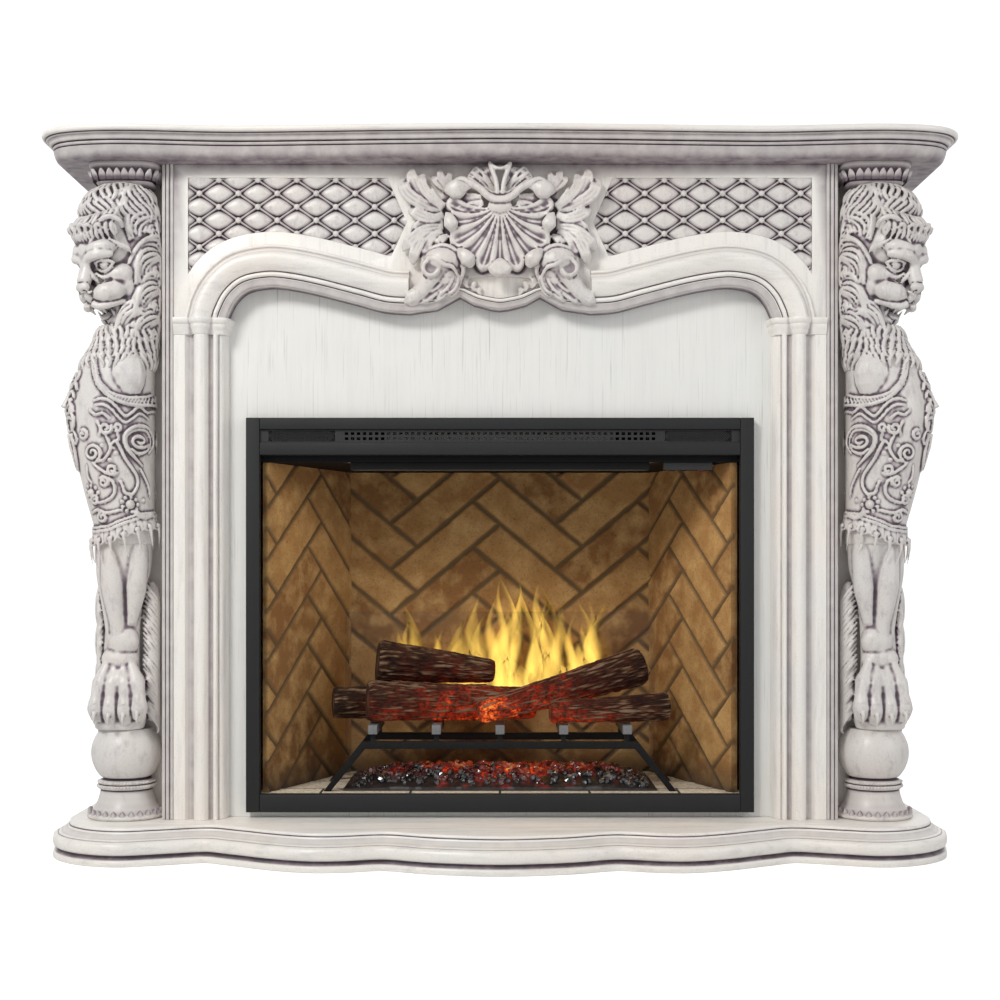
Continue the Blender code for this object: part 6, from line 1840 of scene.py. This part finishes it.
def log_form(name, start, end, seed, embers):
    """A log from (place, radius) to (place, radius): bark furrows, knots, a split face and sawn ends."""
    (a, radius_a), (b, radius_b) = start, end
    a, b = np.array(a), np.array(b)
    length = np.linalg.norm(b - a)
    along = (b - a) / length
    side = np.cross(along, (0, 0, 1))
    side /= np.linalg.norm(side)
    up = np.cross(side, along)
    rows, columns = int(length / 0.0022), 120
    t = np.linspace(0, 1, rows)
    grid_t, grid_turn = np.meshgrid(t, circle(columns), indexing="ij")
    wander = field(np.column_stack([t * 3.1, np.full(rows, seed * 3.3), np.zeros(rows)]), 1.0, 3)
    samples = np.stack([np.cos(grid_turn) * 1.9, np.sin(grid_turn) * 1.9, grid_t * length * 17 + seed * 5],
                       -1)
    furrow, lumps, flakes = (field(samples.reshape(-1, 3) * size, 1.0, octaves).reshape(rows, columns)
                             for size, octaves in (((2.3, 2.3, 1.25), 3), ((0.45, 0.45, 0.35), 2),
                                                   ((3.4, 3.4, 2.2), 4)))
    furrow = 1 - np.abs(furrow) * 2.1
    radius = radius_a + (radius_b - radius_a) * t
    ends = np.minimum(t, 1 - t) * length
    round_off = 1 - 0.10 * np.exp(-(ends / 0.004) ** 2)
    split = np.clip(np.cos(grid_turn - 1.2 - seed) - 0.78, 0, 1) * 0.55
    rough = 1 - 0.055 - 0.105 * np.clip(furrow, 0, 1) ** 2 + 0.040 * lumps + 0.045 * flakes - split
    rough = np.minimum(rough, 1.0)
    reach = (radius * round_off)[:, None] * rough
    centre = a + (b - a) * t[:, None] + (up * 0.0012 * wander[:, None])
    ring = np.cos(grid_turn)[..., None] * side + np.sin(grid_turn)[..., None] * up
    skin = centre[:, None] + ring * reach[..., None]
    ridge = np.clip(0.75 - furrow * 0.9 + 0.3 * lumps, 0, 1)
    points, marks, faces = [skin.reshape(-1, 3)], [ridge.ravel()], grid_faces(rows, columns, True)
    for way, row in ((1, 0), (-1, rows - 1)):
        previous = [row * columns + k for k in range(columns)]
        for share in (0.93, 0.78, 0.60, 0.42, 0.24, 0.08):
            sunk = 0.0008 * math.sin(share * 40 + seed)
            inner = centre[row] + (skin[row] - centre[row]) * share - along * way * sunk
            base = sum(len(p) for p in points)
            points.append(inner)
            marks.append(np.full(columns, 0.55 + 0.25 * math.sin(share * 38)))
            faces += [[previous[k], previous[(k + 1) % columns], base + (k + 1) % columns, base + k]
                      for k in range(columns)]
            previous = [base + k for k in range(columns)]
        faces.append(previous)
    points = np.vstack(points)
    # Painted light from the bed below: strongest on the lower sides of the logs and near the middle, in
    # patches.
    near_fire = np.exp(-((points[:, 0] - 0.01) / 0.15) ** 2)
    low_side = np.clip((log_base + 0.062 - points[:, 2]) / 0.05, 0, 1)
    patches = np.clip(field(points, 26.0, 3) * 1.7 + 0.15, 0, 1)
    glow = np.clip(embers * near_fire * (0.30 + 0.9 * low_side) * (0.35 + patches), 0, 1)
    return made(name, points, faces, log_resin, 60, {"ridge": np.concatenate(marks), "ember": glow})


ember_share = {"log_front": 0.85, "log_left": 0.25, "log_back": 0.30, "log_crossing": 0.9, "log_right": 0.55}
for seed, (node, ends) in enumerate(LOGS.items()):
    start, end = [((x, face_y + y, log_base + z), radius) for x, y, z, radius in ends]
    seat(log_form("bark_" + node, start, end, seed, ember_share[node]), "suite", "log_resin", node)

# Ember bed: a moulded translucent shell lit from below, heaped with clear and smoky crystals. It
# lies over the window in the hearth floor.
bed_low, bed_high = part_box("ember_bed")


def ember_glow(spots):
    """How brightly the bed is lit at each point: brightest in the middle, in patches."""
    middle = 0.5 * (bed_low.y + bed_high.y) + 0.006
    pool = np.exp(-(spots[:, 0] / 0.185) ** 2 - ((spots[:, 1] - middle) / 0.075) ** 2)
    return np.clip(pool * (0.55 + 1.1 * field(spots, 30.0, 3)) + 0.10 * pool, 0, 1)


ember_resin, tree, shader = surface("ember_resin", 0.45)
lit = mark(tree, "ember")
lumps = speckle(tree, 95.0, 5.0)
ash = ramp(tree, lumps, (0.30, (0.008, 0.006, 0.005)), (0.55, (0.022, 0.016, 0.014)),
           (0.8, (0.070, 0.060, 0.055)))
heat = sums(tree, "MULTIPLY", lit, sums(tree, "ADD", lumps, 0.55))
glow_colour = ramp(tree, heat, (0.12, (0, 0, 0)), (0.40, (0.30, 0.010, 0.002)), (0.66, (0.90, 0.060, 0.008)),
               (0.90, (1.0, 0.26, 0.05)), (1.0, (1.0, 0.50, 0.16)))
feed(tree, shader, {"Base Color": ash, "Emission Color": glow_colour, "Emission Strength": 0.70})
bumped(tree, shader, lumps, 0.5, 0.002)

columns, rows = 180, 56
across, back = np.meshgrid(np.linspace(-1, 1, columns), np.linspace(0, 1, rows))
across, back = across.ravel(), back.ravel()
half, deep, tall = bed_high.x, bed_high.y - bed_low.y, bed_high.z - bed_low.z
plan = np.column_stack([across * (half - 0.0005), bed_low.y + deep * back])
spots = np.column_stack([plan, np.zeros(len(plan))])
end = np.clip(3.2 * (1 - np.abs(across)), 0, 1)
edge = np.sin(np.pi * np.clip(back * 0.88 + 0.02, 0, 1)) ** 0.8
heap = 0.78 + 0.16 * field(spots, 22.0, 2) + 0.10 * field(spots, 70.0, 2)
height = bed_low.z + 0.003 + (tall - 0.006) * end * edge * np.clip(heap, 0.3, 1)
crust = np.column_stack([plan, height])
foot = crust[rim_of(rows, columns)] * (1, 1, 0) + (0, 0, bed_low.z)
bed = made("ember_crust", np.vstack([crust, foot]), walled(rows, columns), ember_resin, 60,
           {"ember": np.append(ember_glow(crust), np.zeros(len(foot)))})
seat(bed, "suite", "ember_resin", "ember_bed")

crystal, tree, shader = surface("clear_crystal", 0.08)
lit = mark(tree, "ember")
cloud = speckle(tree, 60.0, 3.0)
tint = ramp(tree, cloud, (0.34, (0.008, 0.008, 0.009)), (0.60, (0.034, 0.032, 0.034)),
            (0.82, (0.26, 0.26, 0.28)))
# The crystals' glow is painted light: the bed's light under them.
glow_colour = ramp(tree, sums(tree, "MULTIPLY", lit, sums(tree, "ADD", cloud, 0.45)), (0.10, (0, 0, 0)),
               (0.5, (0.38, 0.018, 0.003)), (0.85, (0.95, 0.12, 0.02)), (1.0, (1.0, 0.40, 0.14)))
feed(tree, shader, {"Base Color": tint, "Emission Color": glow_colour, "Emission Strength": 0.28,
                    "Coat Weight": 0.6})

draws = np.random.default_rng(11)
chip_points = []
for radius, level in ((0.35, -1.0), (0.9, -0.45), (1.0, 0.2), (0.62, 0.85), (0.22, 1.1)):
    bearing = np.arange(6) * np.pi / 3 + draws.uniform(-0.3, 0.3, 6)
    reach = radius * draws.uniform(0.75, 1.0, 6)
    chip_points.append(np.column_stack([reach * np.cos(bearing), reach * np.sin(bearing),
                                        level * draws.uniform(0.85, 1.0, 6)]))
chip = helper("chip", np.vstack(chip_points), capped(5, 6), crystal)
count = 760
pick = draws.integers(0, len(crust), count * 3)
inside = (np.abs(crust[pick, 0]) < half - 0.014) & (crust[pick, 1] > bed_low.y + 0.008)
inside &= crust[pick, 1] < bed_high.y - 0.012
pick = pick[inside][:count]
sizes = draws.uniform(0.0035, 0.0085, len(pick))
places = crust[pick] + np.column_stack([np.zeros((len(pick), 2)), sizes * 0.35])
places[:, 2] = np.minimum(places[:, 2], bed_high.z - sizes)
aims = draws.normal(size=(len(pick), 3)) * (0.8, 0.8, 0.4) + (0, 0, 1)
crystals = scatter("ember_crystals", chip, places, aims, crystal, sizes=sizes, wobble=0.6, seed=4)
crystals.data.shade_flat()
# Painted light: each crystal glows as brightly as the bed under it is lit.
set_marks(crystals, "ember", ember_glow(points_of(crystals)))
seat(crystals, "suite", "ember_resin")

# Flame screen: a smoky clear pane behind the logs. The flames are light thrown on it and on the
# panel behind, shown here as thin curved tongues that glow and fade out at their tips.
smoky, tree, shader = surface("smoky_pane", 0.12)
feed(tree, shader, {"Base Color": (0.06, 0.05, 0.045, 1), "Specular IOR Level": 0.4,
                    "Alpha": between(tree, speckle(tree, 6.0, 3.0), 0.05, 0.13)})
dress(smoky, "flame_screen")

flame, tree, shader = surface("flame_light", 1.0)
heat, fade = mark(tree, "heat"), mark(tree, "fade")
colour = ramp(tree, heat, (0.0, (0.62, 0.38, 0.07)), (0.30, (0.92, 0.66, 0.17)), (0.60, (1.0, 0.82, 0.31)),
              (0.85, (1.0, 0.91, 0.52)), (1.0, (1.0, 0.96, 0.78)))
wisps = ramp(tree, speckle(tree, 24.0, 4.0, (1, 1, 0.35)), (0.30, (0.45, 0.45, 0.45)), (0.62, (1, 1, 1)))
clear = sums(tree, "MULTIPLY", sums(tree, "MULTIPLY", fade, 0.36), wisps)
feed(tree, shader, {"Base Color": (0, 0, 0, 1), "Specular IOR Level": 0.0, "Alpha": clear,
                    "Emission Color": blend(tree, 1.0, colour, wisps, "MULTIPLY"), "Emission Strength": 3.6})


sheet_thickness = 0.0004


def tongue(foot_x, depth, foot_z, height, width, lean, phase, warmth):
    """One flame: a thin closed sheet that sways, swells near its foot and runs out to a point."""
    rows, columns = 34, 10
    t = np.linspace(0, 1, rows)[:, None]
    s = np.linspace(-1, 1, columns)[None, :]
    sway = lean * t**1.4 + 0.10 * np.sin(phase + 5.2 * t) * t
    swell = width * (np.sin(np.pi * t**0.62) ** 0.85 * 0.85 + 0.18 * (1 - t))
    swell = swell * (1 + 0.16 * np.sin(phase * 2 + 9 * t))
    x = foot_x + (sway + 0 * s) * height + swell * s
    z = foot_z + height * t * (1 - 0.10 * s**2) + 0 * s
    y = depth + 0.006 * (1 - s**2) + 0.004 * np.sin(phase + 4 * t)
    hot = np.clip((1 - s**2) * (1.25 - 1.0 * t) * warmth, 0, 1)
    fade = (1 - s**2) ** 2.2 * np.clip((1 - t) * 1.5, 0, 1) * np.clip(t * 7 + 0.1, 0, 1)
    front = np.stack([x, y + 0 * x, z], -1).reshape(-1, 3)
    back = front + (0, sheet_thickness, 0)
    total, rim = rows * columns, rim_of(rows, columns)
    faces = grid_faces(rows, columns, False)
    faces += [[total + i for i in face[::-1]] for face in faces]
    faces += [[a, b, total + b, total + a] for a, b in zip(rim, rim[1:] + rim[:1])]
    return np.vstack([front, back]), faces, np.tile(hot.ravel(), 2), np.tile(fade.ravel(), 2)


screen_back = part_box("flame_screen")[1].y
draws = np.random.default_rng(7)
forms, heats, fades = [], [], []
for k in range(64):
    foot_x = np.clip(draws.normal(0.015, 0.105), -0.165, 0.170)
    middle = math.exp(-((foot_x - 0.035) / 0.085) ** 2)
    low_one = k % 3 == 0
    height = (0.072 if low_one else 0.130 + 0.080 * middle) * draws.uniform(0.70, 1.18)
    width = (0.027 if low_one else 0.0165) * draws.uniform(0.8, 1.3)
    layer = screen_back + 0.008 + 0.0007 * k
    warmth = (0.70 + 0.65 * middle) * (1.25 if low_one else 1.0)
    points, faces, hot, soft = tongue(foot_x, layer, 0.262 - 0.030 * middle, height, width,
                                      draws.uniform(-0.14, 0.14), draws.uniform(0, 6), warmth)
    forms.append((points, faces))
    heats.append(hot)
    fades.append(soft)
points, faces = gather(forms)
flames = made("flame_tongues", points, faces, flame, 60, {"heat": np.concatenate(heats),
              "fade": np.concatenate(fades)})
seat(flames, "suite", "clear_acrylic")

# Trim: a frame of charcoal powder-coated bars that laps over the panel, with the warm-air vent
# behind its top rails: a black louvred outlet in the middle and woven mesh at both ends.
charcoal = metal("charcoal_powder_coat", (0.0125, 0.0130, 0.0140), 0.55, 900.0, 0.0, 0.00015, 0.30)
for name in ("trim_stile_left", "trim_stile_right", "trim_rail_top", "trim_rail_bottom", "vent_rail"):
    seat(eased("coated_" + name, name, charcoal, 0.0011), "suite", "trim_black", name)

vent_low, vent_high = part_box("vent_grille")
outlet_half, mesh_half, mesh_inner = 0.2600, vent_high.x - 0.006, 0.2660
frame_bar, frame_post, lap = 0.0018, 0.008, 0.0001
vent_middle = 0.5 * (vent_low.z + vent_high.z)


def block(low, high):
    """The eight corners and six faces of a plain bar, for joining into a larger form."""
    corners = [(x, y, z) for x in (low[0], high[0]) for y in (low[1], high[1]) for z in (low[2], high[2])]
    sides = [[0, 1, 3, 2], [4, 6, 7, 5], [0, 4, 5, 1], [2, 3, 7, 6], [0, 2, 6, 4], [1, 5, 7, 3]]
    return np.array(corners, float), sides


# Louvre plate: bars above, between and below two rows of slots, with a bridge between slots
plate_back, plate_front = vent_high.y, vent_low.y
rows_z = [(vent_low.z + 0.0042, vent_low.z + 0.0088), (vent_low.z + 0.0126, vent_low.z + 0.0172)]
bars = []
levels = [vent_low.z] + [z for row in rows_z for z in row] + [vent_high.z]
for low_z, high_z in zip(levels[::2], levels[1::2]):
    bars.append(block((-mesh_inner, plate_front, low_z), (mesh_inner, plate_back, high_z)))
slot_count, bridge = 52, 0.0040
slot_pitch = 2 * outlet_half / slot_count
for low_z, high_z in rows_z:
    for k in range(slot_count + 1):
        x = -outlet_half + k * slot_pitch
        left = -mesh_inner if k == 0 else x - bridge / 2
        right = mesh_inner if k == slot_count else x + bridge / 2
        bars.append(block((left, plate_front, low_z + lap), (right, plate_back, high_z - lap)))
for side in (-1, 1):
    inner, outer = sorted((side * mesh_inner, side * vent_high.x))
    bars.append(block((inner, plate_front, vent_low.z), (outer, plate_back, vent_low.z + frame_bar)))
    bars.append(block((inner, plate_front, vent_high.z - frame_bar), (outer, plate_back, vent_high.z)))
    for near, far in ((mesh_half - frame_post, vent_high.x), (mesh_inner, mesh_inner + frame_post)):
        inner, outer = sorted((side * near, side * far))
        bars.append(block((inner, plate_front, vent_low.z + frame_bar + lap),
                          (outer, plate_back, vent_high.z - frame_bar - lap)))
vent_black = metal("vent_black_coat", (0.0045, 0.0045, 0.0050), 0.55, 900.0, 0.0, 0.00015)
louvre = made("louvre_plate", *gather(bars), vent_black, 30)
seat(louvre, "suite", "trim_black", "vent_grille")

black_wire = metal("black_wire", (0.045, 0.045, 0.047), 0.35, 900.0, 0.7, 0.00010)

# Woven mesh: thin wires on two slants, laid row beside row by a geometry tree
tree, given, labels = pattern("woven_mesh", ("Count", "NodeSocketInt"), ("Pitch", "NodeSocketFloat"),
                              ("Height", "NodeSocketFloat"), ("Wire", "NodeSocketFloat"),
                              ("Finish", "NodeSocketMaterial"))
section = put(tree, "GeometryNodeCurvePrimitiveCircle", {"Resolution": 5, "Radius": given.outputs["Wire"]})
woven = put(tree, "GeometryNodeJoinGeometry")
for slant in (1, -1):
    top = put(tree, "ShaderNodeCombineXYZ", {0: sums(tree, "MULTIPLY", given.outputs["Height"], 0.5 * slant),
              1: 0.00030 * slant, 2: sums(tree, "MULTIPLY", given.outputs["Height"], 0.5)})
    foot = put(tree, "ShaderNodeVectorMath", {0: top.outputs[0], 1: (-1.0, 1.0, -1.0)}, operation="MULTIPLY")
    wire = put(tree, "GeometryNodeCurvePrimitiveLine", {"Start": foot.outputs[0], "End": top.outputs[0]})
    tubed = put(tree, "GeometryNodeCurveToMesh", {0: wire.outputs[0], 1: section.outputs[0],
                                                  "Fill Caps": True})
    step = put(tree, "ShaderNodeCombineXYZ", {0: given.outputs["Pitch"]})
    row = put(tree, "GeometryNodeMeshLine", {"Count": given.outputs["Count"], "Offset": step.outputs[0]},
              mode="OFFSET")
    copies = put(tree, "GeometryNodeInstanceOnPoints",
                 {"Points": row.outputs[0], "Instance": tubed.outputs[0]})
    tree.links.new(copies.outputs[0], woven.inputs[0])
realised(tree, given, woven)
mesh_height = vent_high.z - vent_low.z - 0.0030
mesh_pitch = 0.0044
span = mesh_half - mesh_inner - mesh_height
for side, hand in HANDS:
    wires = grow("vent_mesh_" + hand, bpy.data.meshes.new("wires"), tree, labels, {
        "Count": int(span / mesh_pitch) + 1, "Pitch": mesh_pitch, "Height": mesh_height, "Wire": 0.00072,
        "Finish": black_wire})
    start = (mesh_inner if side > 0 else -mesh_half) + mesh_height / 2
    wires.data.transform(Matrix.Translation((start, plate_front + 0.0011, vent_middle)))
    seat(wires, "suite", "trim_black")

# Heater: a blower wheel on its motor shaft behind a ribbed element, in a zinc-coated housing that
# hangs from the casing's top and blows out through the louvres.
motor_black = metal("motor_black", (0.020, 0.020, 0.022), 0.48, 420.0, 0.3, 0.0002)
dress(motor_black, "blower_motor", "flicker_motor", "blower_wheel")
dress(metal("bare_metal", (0.55, 0.54, 0.52), 0.32, 700.0), "heating_element")
dress(metal("mirror_film", (0.72, 0.72, 0.74), 0.12, 60.0), "flicker_rotor")


# Boards and controls: printed boards, and the switch panel under the hood with its rocker and two
# push buttons, all in moulded plastic.
board_green, tree, shader = surface("circuit_board", 0.40, coat=0.3)
cells = put(tree, "ShaderNodeTexVoronoi", {"Vector": here(tree), "Scale": 180.0},
            distance="MANHATTAN", feature="F1")
tracks = ramp(tree, cells.outputs["Distance"], (0.30, (0.010, 0.095, 0.042)), (0.42, (0.020, 0.170, 0.075)),
              (0.50, (0.010, 0.095, 0.042)))
pads = mask(tree, speckle(tree, 330.0, 1.0), 0.70, 0.72)
feed(tree, shader, {"Base Color": blend(tree, pads, tracks, (0.60, 0.55, 0.42))})
bumped(tree, shader, cells.outputs["Distance"], 0.2, 0.0003)
dress(board_green, "control_board", "led_board")


def moulded(name, colour, roughness):
    """Moulded plastic with a fine spark-eroded grain and a slightly uneven sheen."""
    material, tree, shader = surface(name, roughness)
    grain = speckle(tree, 1400.0, 2.0)
    cloud = speckle(tree, 20.0, 3.0)
    feed(tree, shader, {"Base Color": blend(tree, sums(tree, "MULTIPLY", cloud, 0.5), colour,
                                            toned(colour, 0.8)),
                        "Roughness": between(tree, cloud, roughness - 0.06, roughness + 0.08)})
    bumped(tree, shader, grain, 0.25, 0.0001)
    return material


dress(moulded("panel_plastic", (0.006, 0.006, 0.007), 0.58), "control_panel", "cable_gland")
dress(moulded("button_plastic", (0.020, 0.020, 0.022), 0.50), "heat_button", "flame_button")
dress(moulded("rocker_plastic", (0.110, 0.010, 0.008), 0.45), "power_rocker")

low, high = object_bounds()
